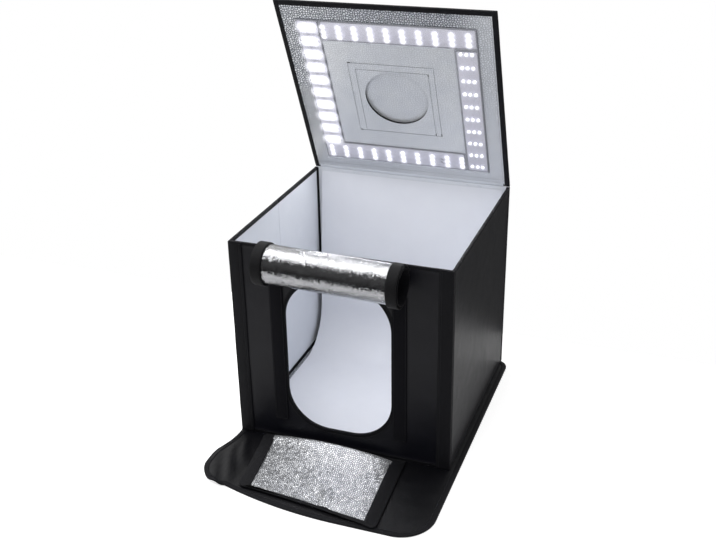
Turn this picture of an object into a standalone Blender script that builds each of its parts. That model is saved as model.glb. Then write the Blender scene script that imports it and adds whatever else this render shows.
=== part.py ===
# A folding light tent cube of about 400 mm, with its lighted top open.
# Metres, +Z up. The origin is on the table under the middle of the cube, +Y points to the rear wall.

import bpy
import bmesh
import math
from mathutils import Matrix

# Fit between pieces that touch, and how far a cutter runs past what it cuts
GAP = 0.0003
OVERRUN = 0.002

# The cube and the layers of its walls
CUBE_WIDTH = 0.400
CUBE_DEPTH = 0.400
WALL_HEIGHT = 0.3834
SKIN_THICKNESS = 0.001
BOARD_THICKNESS = 0.0022
LINING_THICKNESS = 0.001
WALL_THICKNESS = SKIN_THICKNESS + GAP + BOARD_THICKNESS + GAP + LINING_THICKNESS
BINDING_WIDTH = 0.007
FOLD_HEM_WIDTH = 0.003
EDGE_ROUND = 0.0008
EDGE_SEGMENTS = 2

# The base mat, which reaches forward under the lower window cover
MAT_SIDE_REACH = 0.015
MAT_FRONT_REACH = 0.190
MAT_THICKNESS = 0.004
MAT_FRONT_RADIUS = 0.060
MAT_REAR_RADIUS = 0.027
FLOOR_MARGIN = 0.0007

# The window in the front wall
WINDOW_WIDTH = 0.193
WINDOW_SILL = 0.0367
WINDOW_HEAD = 0.0567
WINDOW_RADIUS = 0.075
WINDOW_OFFSET_X = -0.0035
WINDOW_LIP = 0.008
CORNER_STEPS = 8

# Hook and loop tapes on the front wall, and the hems at its corners
TAPE_WIDTH = 0.025
TAPE_THICKNESS = 0.0015
TAPE_INSET = 0.003
TAPE_END_TRIM = 0.004
HEM_WIDTH = 0.025
HEM_THICKNESS = 0.001

# The fold of the cube
CREASE_STANDOFF = 0.0002
HINGE_LINE_GAP = 0.0003

# The top, hinged at the rear and open as in use
LID_LENGTH = 0.397
LID_BINDING = 0.010
LID_OPEN_DEG = 65.3
PIPING_RADIUS = 0.0024
ROUND_STEPS = 16

# The camera port in the top, its cover and the tapes that close it
PORT_RADIUS = 0.060
PORT_DISTANCE = 0.194
PORT_LIP = 0.0015
PORT_STEPS = 40
PORT_COVER_WIDTH = 0.161
PORT_COVER_LENGTH = 0.160
PORT_COVER_SKIN = 0.0015
PORT_COVER_RADIUS = 0.008
PORT_SEAM_DISTANCE = 0.112
PORT_SEAM_RADIUS = 0.0015
PORT_TAPE_WIDTH = 0.013
PORT_TAPE_THICKNESS = 0.0012
PORT_TAPE_START = 0.004

# The frame of four light bars
BAR_FRAME_SIZE = 0.328
BAR_FRAME_X = -0.001
BAR_FRAME_DISTANCE = 0.196
BAR_WIDTH = 0.042
BAR_END_GAP = 0.002
BAR_COVER_HEIGHT = 0.0045
BAR_COVER_WALL = 0.001
BOARD_SIDE_ROOM = 0.002
BOARD_PLATE = 0.0016
LED_SIZE = 0.005
LED_HEIGHT = 0.0008
LED_PITCH = 0.0293
LED_ROW_PITCH = 0.010
LED_ROW_SHIFT = -0.004
LED_GROUPS = 10
LED_ROWS = 3
BAR_SIDES = ("far", "right", "near", "left")

# The power inlet on the outer face of the top
INLET_X = 0.094
INLET_DISTANCE = 0.045
INLET_RADIUS = 0.0055
INLET_HEIGHT = 0.011
INLET_BORE_RADIUS = 0.0032
INLET_FLOOR = 0.002
INLET_FLANGE_RADIUS = 0.0085
INLET_FLANGE_HEIGHT = 0.002
INLET_PIN_RADIUS = 0.001
INLET_PIN_SHORTFALL = 0.002

# The upper window cover, rolled up under two straps
UPPER_COVER_LENGTH = 0.262
ROLL_RADIUS = 0.035
ROLL_DROP = 0.0177
ROLL_STEPS = 28
ROLL_SHEET = 0.0022
ROLL_TURN_GAP = 0.0015
ROLL_SILVER_LEFT = -0.106
ROLL_SILVER_RIGHT = 0.106
ROLL_LEFT = -0.126
ROLL_RIGHT = 0.127
ROLL_STANDOFF = 0.0006
STRAP_THICKNESS = 0.0016
STRAP_WIDTH = 0.018
STRAP_START_DEG = 26
STRAP_END_DEG = 322
STRAP_STEPS = 34
UPPER_SEAM_RADIUS = 0.0018

# The lower window cover, folded down on the mat
LOWER_COVER_X = -0.014
LOWER_SILVER_WIDTH = 0.222
LOWER_BORDER_WIDTH = 0.024
LOWER_COVER_LENGTH = 0.166
LOWER_FRONT_BORDER = 0.012
LOWER_COVER_THICKNESS = 0.003
LOWER_COVER_RADIUS = 0.012
LOWER_SEAM_RADIUS = 0.0015
LOWER_TAB_THICKNESS = 0.001

# The white background sheet and the tabs that hold its top
SHEET_WIDTH = 0.372
SHEET_THICKNESS = 0.0008
SHEET_RADIUS = 0.090
SHEET_LEAN_DEG = 5.1
SHEET_TOP_DROP = 0.0077
SHEET_FRONT_MARGIN = 0.006
SHEET_STEPS = 12
TAB_WIDTH = 0.030
TAB_HEIGHT = 0.020
TAB_EDGE_MARGIN = 0.056

# Places that follow from the sizes above
HALF_WIDTH = CUBE_WIDTH / 2
HALF_DEPTH = CUBE_DEPTH / 2
MAT_WIDTH = CUBE_WIDTH + 2 * MAT_SIDE_REACH
WALL_BOTTOM = MAT_THICKNESS + GAP
WALL_TOP = WALL_BOTTOM + WALL_HEIGHT
WINDOW_BOTTOM = WALL_BOTTOM + WINDOW_SILL
WINDOW_TOP = WALL_TOP - WINDOW_HEAD
ROLL_CENTRE_Z = WALL_TOP - ROLL_DROP
INNER_X = HALF_WIDTH - WALL_THICKNESS
INNER_Y = HALF_DEPTH - WALL_THICKNESS
HINGE_Y = INNER_Y - HINGE_LINE_GAP
CREASE_X = HALF_WIDTH + CREASE_STANDOFF
SIDE_LENGTH = HINGE_Y - HINGE_LINE_GAP / 2
LID_AXIS_Y = HALF_DEPTH - WALL_THICKNESS / 2
LID_AXIS_Z = WALL_TOP + GAP + PIPING_RADIUS
LID_START = PIPING_RADIUS + GAP
LID_OUTER = WALL_THICKNESS / 2
TAB_X = SHEET_WIDTH / 2 - TAB_EDGE_MARGIN
STRAP_STEP = math.radians(STRAP_END_DEG - STRAP_START_DEG) / STRAP_STEPS
ROLL_STRAP_RADIUS = (ROLL_RADIUS + GAP) / math.cos(STRAP_STEP / 2)
STRAP_OUTER_RADIUS = ROLL_STRAP_RADIUS + STRAP_THICKNESS
ROLL_CENTRE_Y = -(HALF_DEPTH + ROLL_STANDOFF + STRAP_OUTER_RADIUS)
UPPER_AXIS_Y = -(HALF_DEPTH + GAP + UPPER_SEAM_RADIUS)
SEAM_REACH = ROLL_RADIUS + GAP + UPPER_SEAM_RADIUS
UPPER_AXIS_Z = ROLL_CENTRE_Z + math.sqrt(SEAM_REACH ** 2 - (UPPER_AXIS_Y - ROLL_CENTRE_Y) ** 2)
LOWER_AXIS_Z = MAT_THICKNESS + GAP + LOWER_SEAM_RADIUS
LOWER_TOP_OFFSET = MAT_THICKNESS + GAP + LOWER_COVER_THICKNESS - LOWER_AXIS_Z
LOWER_AXIS_Y = -(HALF_DEPTH + GAP + TAPE_THICKNESS + GAP + LOWER_TOP_OFFSET)


# Scene, materials and placing

def clear_scene():
    for old in list(bpy.data.objects):
        bpy.data.objects.remove(old, do_unlink=True)


def make_material(name, colour, roughness, metallic=0.0):
    made = bpy.data.materials.new(name)
    made.use_nodes = True
    shader = made.node_tree.nodes["Principled BSDF"]
    shader.inputs["Base Color"].default_value = (*colour, 1.0)
    shader.inputs["Roughness"].default_value = roughness
    shader.inputs["Metallic"].default_value = metallic
    made.diffuse_color = (*colour, 1.0)
    return made


def make_axis(name, parent, location, rotation=(0, 0, 0)):
    # An empty on a joint's axis. Its location is in its parent's frame.
    empty = bpy.data.objects.new(name, None)
    bpy.context.collection.objects.link(empty)
    empty.parent = parent
    empty.location = location
    empty.rotation_euler = rotation
    return empty


def add_object(name, mesh, material, parent=None, location=(0, 0, 0), rotation=(0, 0, 0)):
    made = bpy.data.objects.new(name, mesh)
    bpy.context.collection.objects.link(made)
    if material is not None and not mesh.materials:
        mesh.materials.append(material)
    made.parent = parent
    made.location = location
    made.rotation_euler = rotation
    return made


def add_cutter(name, mesh, target):
    # The cutter is a child of what it cuts, so both stay together.
    cutter = add_object(name, mesh, None, parent=target)
    cutter.hide_render = True
    cutter.display_type = "WIRE"
    cut = target.modifiers.new("cut", "BOOLEAN")
    cut.operation = "DIFFERENCE"
    cut.object = cutter
    return cutter


def round_edges(target, width, segments):
    bevel = target.modifiers.new("rounded edges", "BEVEL")
    bevel.width = width
    bevel.segments = segments
    bevel.limit_method = "ANGLE"


# Outlines, as lists of points going counter-clockwise

def rectangle(left, bottom, right, top):
    return [(left, bottom), (right, bottom), (right, top), (left, top)]


def rounded_rectangle(left, bottom, right, top, radii):
    # The radii are for the lower left, lower right, upper right and upper left corners.
    corners = (
        (left + radii[0], bottom + radii[0], 180, radii[0]),
        (right - radii[1], bottom + radii[1], 270, radii[1]),
        (right - radii[2], top - radii[2], 0, radii[2]),
        (left + radii[3], top - radii[3], 90, radii[3]),
    )
    points = []
    for x, y, start, radius in corners:
        for step in range(CORNER_STEPS + 1):
            angle = math.radians(start + 90 * step / CORNER_STEPS)
            points.append((x + radius * math.cos(angle), y + radius * math.sin(angle)))
    return points


def circle(x, y, radius, steps):
    turns = [2 * math.pi * step / steps for step in range(steps)]
    return [(x + radius * math.cos(turn), y + radius * math.sin(turn)) for turn in turns]


def arc(x, y, radius, start_deg, end_deg, steps):
    points = []
    for step in range(steps + 1):
        angle = math.radians(start_deg + (end_deg - start_deg) * step / steps)
        points.append((x + radius * math.cos(angle), y + radius * math.sin(angle)))
    return points


# Meshes

def prism(name, outlines, low, high):
    # The first outline is the outside, the others are holes. It is extruded along Z from low to high.
    shape = bmesh.new()
    for outline in outlines:
        corners = [shape.verts.new((x, y, low)) for x, y in outline]
        for index, corner in enumerate(corners):
            shape.edges.new((corner, corners[(index + 1) % len(corners)]))
    bmesh.ops.triangle_fill(shape, use_beauty=True, use_dissolve=False, edges=shape.edges[:])
    raised = bmesh.ops.extrude_face_region(shape, geom=shape.faces[:])
    moved = [part for part in raised["geom"] if isinstance(part, bmesh.types.BMVert)]
    bmesh.ops.translate(shape, vec=(0, 0, high - low), verts=moved)
    bmesh.ops.recalc_face_normals(shape, faces=shape.faces[:])
    mesh = bpy.data.meshes.new(name)
    shape.to_mesh(mesh)
    shape.free()
    return mesh


def cross_prism(name, outlines, left, right):
    # Outlines in the Y-Z plane, extruded along X from left to right.
    mesh = prism(name, outlines, left, right)
    mesh.transform(Matrix(((0, 0, 1, 0), (1, 0, 0, 0), (0, 1, 0, 0), (0, 0, 0, 1))))
    return mesh


def smooth(mesh, angle_deg=40):
    mesh.shade_smooth()
    mesh.set_sharp_from_angle(angle=math.radians(angle_deg))
    return mesh


# A wall panel lies in its own X-Y plane. Its outer face is at z = 0 and its inner face WALL_THICKNESS below.

def inset(box, margins):
    left, bottom, right, top = box
    return left + margins[0], bottom + margins[1], right - margins[2], top - margins[3]


def add_panel(name, box, margins, lining, parent, location, rotation, opening=None, notches=None):
    # opening gives an outline for an amount that it grows by, so lip and clearances follow one size.
    deep = -WALL_THICKNESS
    board_top = -(SKIN_THICKNESS + GAP)
    board_bottom = board_top - BOARD_THICKNESS
    holes = [opening["outline"](0)] if opening else []
    islands = [opening["outline"](opening["lip"])] if opening else []
    inner_holes = [opening["outline"](opening["lip"] + GAP)] if opening else []

    shell_mesh = prism(name + "_shell", [rectangle(*box)] + holes, deep, 0)
    shell = add_object(name + "_shell", shell_mesh, FABRIC, parent, location, rotation)
    round_edges(shell, EDGE_ROUND, EDGE_SEGMENTS)
    pocket = inset(box, margins)
    pocket_mesh = prism(name + "_pocket", [rectangle(*pocket)] + islands, deep - OVERRUN, -SKIN_THICKNESS)
    add_cutter(name + "_pocket", pocket_mesh, shell)

    fitted = inset(pocket, (GAP, GAP, GAP, GAP))
    board_mesh = prism(name + "_board", [rectangle(*fitted)] + inner_holes, board_bottom, board_top)
    add_object(name + "_board", board_mesh, BOARD, parent, location, rotation)
    lining_outline = notches(fitted) if notches else rectangle(*fitted)
    lining_mesh = prism(name + "_lining", [lining_outline] + inner_holes, deep, deep + LINING_THICKNESS)
    add_object(name + "_lining", lining_mesh, lining, parent, location, rotation)


# Base

def add_base():
    front = -(HALF_DEPTH + MAT_FRONT_REACH)
    radii = (MAT_FRONT_RADIUS, MAT_FRONT_RADIUS, MAT_REAR_RADIUS, MAT_REAR_RADIUS)
    outline = rounded_rectangle(-MAT_WIDTH / 2, front, MAT_WIDTH / 2, HALF_DEPTH, radii)
    mat = add_object("base_mat", prism("base_mat", [outline], 0, MAT_THICKNESS), MAT_FABRIC)
    floor_x = INNER_X - FLOOR_MARGIN
    floor_y = INNER_Y - FLOOR_MARGIN
    pocket = rectangle(-floor_x, -floor_y, floor_x, floor_y)
    add_cutter("floor_pocket", prism("floor_pocket", [pocket], SKIN_THICKNESS, MAT_THICKNESS + OVERRUN), mat)

    lining_bottom = MAT_THICKNESS - LINING_THICKNESS
    fitted = rectangle(GAP - floor_x, GAP - floor_y, floor_x - GAP, floor_y - GAP)
    board = prism("floor_board", [fitted], SKIN_THICKNESS + GAP, lining_bottom - GAP)
    add_object("floor_board", board, BOARD)
    add_object("floor_lining", prism("floor_lining", [fitted], lining_bottom, MAT_THICKNESS), SILVER)


def add_background_sheet():
    # The sheet hangs from the rear wall's top, leans forward, and sweeps onto the floor in one arc.
    lean = math.radians(SHEET_LEAN_DEG)
    half = SHEET_THICKNESS / 2
    flat_z = MAT_THICKNESS + GAP + half
    top_z = WALL_TOP - SHEET_TOP_DROP
    top_y = INNER_Y - GAP - half
    arc_centre_z = flat_z + SHEET_RADIUS
    arc_end_z = arc_centre_z - SHEET_RADIUS * math.sin(lean)
    arc_end_y = top_y - (top_z - arc_end_z) * math.tan(lean)
    arc_centre_y = arc_end_y - SHEET_RADIUS * math.cos(lean)
    front_y = -(INNER_Y - SHEET_FRONT_MARGIN)

    def side(offset):
        bend = arc(arc_centre_y, arc_centre_z, SHEET_RADIUS + offset, 270, 360 - SHEET_LEAN_DEG, SHEET_STEPS)
        top = (top_y + offset * math.cos(lean), top_z - offset * math.sin(lean))
        return [(front_y, flat_z - offset)] + bend + [top]

    outline = side(half) + side(-half)[::-1]
    mesh = cross_prism("background_sheet", [outline], -SHEET_WIDTH / 2, SHEET_WIDTH / 2)
    add_object("background_sheet", smooth(mesh), SHEET)


def tab_box(side, grow, top):
    centre = side * TAB_X
    return centre - TAB_WIDTH / 2 - grow, top - TAB_HEIGHT - grow, centre + TAB_WIDTH / 2 + grow, top


def notched_top(box):
    # The rear lining leaves two notches in its top edge, where the sheet's tabs lie flush.
    left, bottom, right, top = box
    points = [(left, bottom), (right, bottom), (right, top)]
    for side in (1, -1):
        tab_left, tab_bottom, tab_right, _ = tab_box(side, GAP, top)
        points += [(tab_right, top), (tab_right, tab_bottom), (tab_left, tab_bottom), (tab_left, top)]
    return points + [(left, top)]


def add_rear_wall():
    # The top has only a narrow hem, because the lining runs up to the hinge of the top.
    box = (-HALF_WIDTH, WALL_BOTTOM, HALF_WIDTH, WALL_TOP)
    margins = (BINDING_WIDTH,) * 3 + (FOLD_HEM_WIDTH,)
    location = (0, HALF_DEPTH, 0)
    rotation = (math.radians(90), 0, math.radians(180))
    add_panel("rear_wall", box, margins, WHITE, None, location, rotation, notches=notched_top)
    top = WALL_TOP - FOLD_HEM_WIDTH - GAP
    for name, side in (("left", 1), ("right", -1)):
        outline = rectangle(*tab_box(side, 0, top))
        mesh = prism("sheet_tab_" + name, [outline], -WALL_THICKNESS, LINING_THICKNESS - WALL_THICKNESS)
        add_object("sheet_tab_" + name, mesh, TAPE, None, location, rotation)


# The folding sides. Their panels lie in the wall's own plane, with x running to the right as seen from outside.

def add_side_half(name, parent, location, rotation, hinge_at_left):
    if hinge_at_left:
        box = (0, WALL_BOTTOM, SIDE_LENGTH, WALL_TOP)
        margins = (BINDING_WIDTH, BINDING_WIDTH, FOLD_HEM_WIDTH, BINDING_WIDTH)
    else:
        box = (-SIDE_LENGTH, WALL_BOTTOM, 0, WALL_TOP)
        margins = (FOLD_HEM_WIDTH, BINDING_WIDTH, BINDING_WIDTH, BINDING_WIDTH)
    add_panel(name, box, margins, WHITE, parent, location, rotation)


def add_sides():
    # Each side has a rear and a front half, with the crease on its outer face, so the middle folds inwards.
    axes = {}
    for name, sign in (("left", -1), ("right", 1)):
        rear_axis = make_axis(name + "_rear_axis", None, (sign * INNER_X, HINGE_Y, 0))
        front_axis = make_axis(name + "_front_axis", rear_axis, (sign * (CREASE_X - INNER_X), -HINGE_Y, 0))
        rotation = (math.radians(90), 0, math.radians(90) * sign)
        rear_at = (sign * WALL_THICKNESS, 0, 0)
        front_at = (-sign * CREASE_STANDOFF, -HINGE_Y, 0)
        add_side_half(name + "_rear_wall", rear_axis, rear_at, rotation, hinge_at_left=sign < 0)
        add_side_half(name + "_front_wall", front_axis, front_at, rotation, hinge_at_left=sign > 0)
        axes[name] = front_axis
    return axes


# Front wall

def window_outline(grow):
    left = WINDOW_OFFSET_X - WINDOW_WIDTH / 2 - grow
    right = WINDOW_OFFSET_X + WINDOW_WIDTH / 2 + grow
    radii = (WINDOW_RADIUS + grow,) * 4
    return rounded_rectangle(left, WINDOW_BOTTOM - grow, right, WINDOW_TOP + grow, radii)


def add_front_wall(axis):
    # The axis is the front edge of the left side, so places here count from it.
    box = (-HALF_WIDTH, WALL_BOTTOM, HALF_WIDTH, WALL_TOP)
    margins = (BINDING_WIDTH,) * 4
    rotation = (math.radians(90), 0, 0)
    location = (INNER_X, HINGE_Y - HALF_DEPTH, 0)
    window = {"outline": window_outline, "lip": WINDOW_LIP}
    add_panel("front_wall", box, margins, WHITE, axis, location, rotation, opening=window)

    tape_bottom = WINDOW_BOTTOM + TAPE_END_TRIM
    tape_top = WINDOW_TOP - TAPE_END_TRIM
    for name, sign in (("left", -1), ("right", 1)):
        near = WINDOW_OFFSET_X + sign * (WINDOW_WIDTH / 2 + TAPE_INSET)
        far = near + sign * TAPE_WIDTH
        outline = rectangle(min(near, far), tape_bottom, max(near, far), tape_top)
        mesh = prism("window_tape_" + name, [outline], GAP, GAP + TAPE_THICKNESS)
        add_object("window_tape_" + name, mesh, TAPE, axis, location, rotation)
        far = sign * HALF_WIDTH
        near = far - sign * HEM_WIDTH
        outline = rectangle(min(near, far), WALL_BOTTOM, max(near, far), WALL_TOP)
        mesh = prism("corner_hem_" + name, [outline], GAP, GAP + HEM_THICKNESS)
        add_object("corner_hem_" + name, mesh, HEM, axis, location, rotation)


# Window covers

def roll_outline():
    # One strip wound inwards from the seam, over the top first, drawn from the roll's own centre.
    pitch = ROLL_SHEET + ROLL_TURN_GAP
    start = math.atan2(UPPER_AXIS_Z - ROLL_CENTRE_Z, UPPER_AXIS_Y - ROLL_CENTRE_Y)
    turns = UPPER_COVER_LENGTH / (2 * math.pi * (ROLL_RADIUS - ROLL_SHEET))
    outer = []
    inner = []
    for step in range(round(turns * ROLL_STEPS) + 1):
        angle = start + 2 * math.pi * step / ROLL_STEPS
        radius = ROLL_RADIUS - pitch * step / ROLL_STEPS
        outer.append((radius * math.cos(angle), radius * math.sin(angle)))
        inner.append(((radius - ROLL_SHEET) * math.cos(angle), (radius - ROLL_SHEET) * math.sin(angle)))
    return outer + inner[::-1]


def roll_least_gap():
    # Turns lie at the same angles, so the least gap is between the flats of neighbouring turns.
    return ROLL_TURN_GAP * math.cos(math.pi / ROLL_STEPS)


def add_upper_cover(axis):
    centre = (0, ROLL_CENTRE_Y - UPPER_AXIS_Y, ROLL_CENTRE_Z - UPPER_AXIS_Z)
    lengths = (
        ("upper_cover_border_left", ROLL_LEFT, ROLL_SILVER_LEFT - GAP, HEM),
        ("upper_cover", ROLL_SILVER_LEFT, ROLL_SILVER_RIGHT, SILVER),
        ("upper_cover_border_right", ROLL_SILVER_RIGHT + GAP, ROLL_RIGHT, HEM),
    )
    for name, left, right, material in lengths:
        mesh = cross_prism(name, [roll_outline()], left, right)
        add_object(name, smooth(mesh), material, axis, centre)

    band = arc(0, 0, STRAP_OUTER_RADIUS, STRAP_START_DEG, STRAP_END_DEG, STRAP_STEPS)
    band += arc(0, 0, ROLL_STRAP_RADIUS, STRAP_START_DEG, STRAP_END_DEG, STRAP_STEPS)[::-1]
    left_middle = (ROLL_LEFT + ROLL_SILVER_LEFT) / 2
    right_middle = (ROLL_RIGHT + ROLL_SILVER_RIGHT) / 2
    for name, middle in (("roll_strap_left", left_middle), ("roll_strap_right", right_middle)):
        mesh = cross_prism(name, [band], middle - STRAP_WIDTH / 2, middle + STRAP_WIDTH / 2)
        add_object(name, smooth(mesh), WEBBING, axis, centre)


def add_upper_seam(axis, location):
    bead = circle(0, 0, UPPER_SEAM_RADIUS, ROUND_STEPS)
    mesh = cross_prism("upper_cover_seam", [bead], ROLL_LEFT, ROLL_RIGHT)
    add_object("upper_cover_seam", smooth(mesh), PIPING, axis, location)


def add_lower_cover(axis):
    # Flat on the mat. Its own x runs to the right and its y to the rear, counted from the seam.
    bottom = MAT_THICKNESS + GAP - LOWER_AXIS_Z
    top = bottom + LOWER_COVER_THICKNESS
    near = -(LOWER_SEAM_RADIUS + GAP)
    half = LOWER_SILVER_WIDTH / 2
    full = half + LOWER_BORDER_WIDTH
    silver_front = LOWER_FRONT_BORDER - LOWER_COVER_LENGTH
    silver = rectangle(LOWER_COVER_X - half, silver_front, LOWER_COVER_X + half, near)
    add_object("lower_cover", prism("lower_cover", [silver], bottom, top), SILVER, axis)

    left = LOWER_COVER_X - full
    right = LOWER_COVER_X + full
    radii = (LOWER_COVER_RADIUS, LOWER_COVER_RADIUS)
    outside = rounded_rectangle(left, -LOWER_COVER_LENGTH, right, near, radii + (0, 0))
    front_half = [point for point in outside if point[1] < near]
    inner_left = LOWER_COVER_X - half - GAP
    inner_right = LOWER_COVER_X + half + GAP
    inside = [(inner_right, near), (inner_right, silver_front - GAP), (inner_left, silver_front - GAP)]
    outline = [(left, near)] + front_half + [(right, near)] + inside + [(inner_left, near)]
    add_object("lower_cover_border", prism("lower_cover_border", [outline], bottom, top), HEM, axis)


def add_lower_seam(axis, location):
    # A bead on the seam's axis with a flat tab that is sewn to the wall.
    half_tab = LOWER_TAB_THICKNESS / 2
    meet = math.degrees(math.asin(half_tab / LOWER_SEAM_RADIUS))
    bead = arc(0, 0, LOWER_SEAM_RADIUS, meet, 360 - meet, ROUND_STEPS)
    tab_end = -(HALF_DEPTH + GAP) - LOWER_AXIS_Y
    outline = bead + [(tab_end, -half_tab), (tab_end, half_tab)]
    full = LOWER_SILVER_WIDTH / 2 + LOWER_BORDER_WIDTH
    mesh = cross_prism("lower_cover_seam", [outline], LOWER_COVER_X - full, LOWER_COVER_X + full)
    add_object("lower_cover_seam", smooth(mesh), PIPING, axis, location)


# The top. Its own frame is that of the closed lid: y counts from the hinge, forward is negative.

def port_outline(grow):
    return circle(0, -PORT_DISTANCE, PORT_RADIUS + grow, PORT_STEPS)


def add_lid(axis):
    box = (-HALF_WIDTH, -LID_LENGTH, HALF_WIDTH, -LID_START)
    margins = (LID_BINDING,) * 3 + (FOLD_HEM_WIDTH,)
    port = {"outline": port_outline, "lip": PORT_LIP}
    add_panel("lid", box, margins, SILVER, axis, (0, 0, LID_OUTER), (0, 0, 0), opening=port)


def led_board_mesh(name, length, width):
    # A plate drawn as a grid whose marked cells are raised into the light emitters.
    columns = [-length / 2]
    for group in range(LED_GROUPS):
        middle = LED_ROW_SHIFT + LED_PITCH * (group - (LED_GROUPS - 1) / 2)
        columns += [middle - LED_SIZE / 2, middle + LED_SIZE / 2]
    columns.append(length / 2)
    rows = [-width / 2]
    for row in range(LED_ROWS):
        middle = LED_ROW_PITCH * (row - (LED_ROWS - 1) / 2)
        rows += [middle - LED_SIZE / 2, middle + LED_SIZE / 2]
    rows.append(width / 2)

    shape = bmesh.new()
    grid = [[shape.verts.new((x, y, 0)) for y in rows] for x in columns]
    emitters = []
    for i in range(len(columns) - 1):
        for j in range(len(rows) - 1):
            cell = shape.faces.new((grid[i][j], grid[i + 1][j], grid[i + 1][j + 1], grid[i][j + 1]))
            if i % 2 and j % 2:
                emitters.append(cell)
    raised = bmesh.ops.extrude_face_region(shape, geom=emitters)
    tops = [part for part in raised["geom"] if isinstance(part, bmesh.types.BMVert)]
    bmesh.ops.delete(shape, geom=emitters, context="FACES_ONLY")
    bmesh.ops.translate(shape, vec=(0, 0, LED_HEIGHT), verts=tops)
    rim = [edge for edge in shape.edges if edge.is_boundary]
    below = bmesh.ops.extrude_edge_only(shape, edges=rim)
    lower = [part for part in below["geom"] if isinstance(part, bmesh.types.BMVert)]
    bmesh.ops.translate(shape, vec=(0, 0, -BOARD_PLATE), verts=lower)
    bmesh.ops.holes_fill(shape, edges=[edge for edge in shape.edges if edge.is_boundary], sides=0)
    bmesh.ops.recalc_face_normals(shape, faces=shape.faces[:])
    mesh = bpy.data.meshes.new(name)
    shape.to_mesh(mesh)
    shape.free()
    return mesh


def add_light_bars(axis):
    # Four equal bars follow each other round the frame, each a quarter turn on from the last.
    length = BAR_FRAME_SIZE - BAR_WIDTH - BAR_END_GAP
    along = (BAR_FRAME_SIZE - length) / 2
    across = (BAR_WIDTH - BAR_FRAME_SIZE) / 2
    seat = -(LID_OUTER + GAP)
    room = BAR_COVER_WALL + BOARD_SIDE_ROOM
    cover_outline = rectangle(-length / 2, -BAR_WIDTH / 2, length / 2, BAR_WIDTH / 2)
    trough = rectangle(BAR_COVER_WALL - length / 2, BAR_COVER_WALL - BAR_WIDTH / 2,
                       length / 2 - BAR_COVER_WALL, BAR_WIDTH / 2 - BAR_COVER_WALL)
    for turn, side in enumerate(BAR_SIDES):
        quarter = math.radians(90 * turn)
        x = BAR_FRAME_X + along * math.cos(quarter) - across * math.sin(quarter)
        y = -BAR_FRAME_DISTANCE + along * math.sin(quarter) + across * math.cos(quarter)
        cover_mesh = prism("light_cover_" + side, [cover_outline], -BAR_COVER_HEIGHT, 0)
        cover = add_object("light_cover_" + side, cover_mesh, CLEAR, axis, (x, y, seat), (0, 0, quarter))
        hollow = prism("light_trough_" + side, [trough], BAR_COVER_WALL - BAR_COVER_HEIGHT, OVERRUN)
        add_cutter("light_trough_" + side, hollow, cover)
        # The board lies face down in its cover, so it is mirrored in Z.
        board_mesh = led_board_mesh("light_board_" + side, length - 2 * room, BAR_WIDTH - 2 * room)
        board_mesh.transform(Matrix.Scale(-1, 4, (0, 0, 1)))
        board_mesh.flip_normals()
        at = (x, y, seat - BOARD_PLATE)
        add_object("light_board_" + side, board_mesh, LED_BOARD, axis, at, (0, 0, quarter))


def add_power_inlet(axis):
    seat = (INLET_X, -INLET_DISTANCE, LID_OUTER + GAP)
    ring = [circle(0, 0, radius, ROUND_STEPS * 2) for radius in (INLET_FLANGE_RADIUS, INLET_RADIUS + GAP)]
    flange = prism("power_inlet_flange", ring, 0, INLET_FLANGE_HEIGHT)
    add_object("power_inlet_flange", smooth(flange), SOCKET, axis, seat)
    body_mesh = prism("power_inlet", [circle(0, 0, INLET_RADIUS, ROUND_STEPS * 2)], 0, INLET_HEIGHT)
    body = add_object("power_inlet", smooth(body_mesh), SOCKET, axis, seat)
    bore = [circle(0, 0, INLET_BORE_RADIUS, ROUND_STEPS)]
    add_cutter("power_inlet_bore", prism("power_inlet_bore", bore, INLET_FLOOR, INLET_HEIGHT + OVERRUN), body)
    pin = [circle(0, 0, INLET_PIN_RADIUS, ROUND_STEPS)]
    pin_mesh = prism("power_inlet_pin", pin, INLET_FLOOR + GAP, INLET_HEIGHT - INLET_PIN_SHORTFALL)
    add_object("power_inlet_pin", smooth(pin_mesh), METAL, axis, seat)


# The camera port's cover. Its axis is in the lid's frame, on the seam just off the lid's outer face.

def tape_frame(near):
    # Three sides of a square, open towards the seam.
    half = PORT_COVER_WIDTH / 2
    inner = half - PORT_TAPE_WIDTH
    far = -PORT_COVER_LENGTH
    return [(-half, near), (-half, far), (half, far), (half, near),
            (inner, near), (inner, far + PORT_TAPE_WIDTH), (-inner, far + PORT_TAPE_WIDTH), (-inner, near)]


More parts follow.
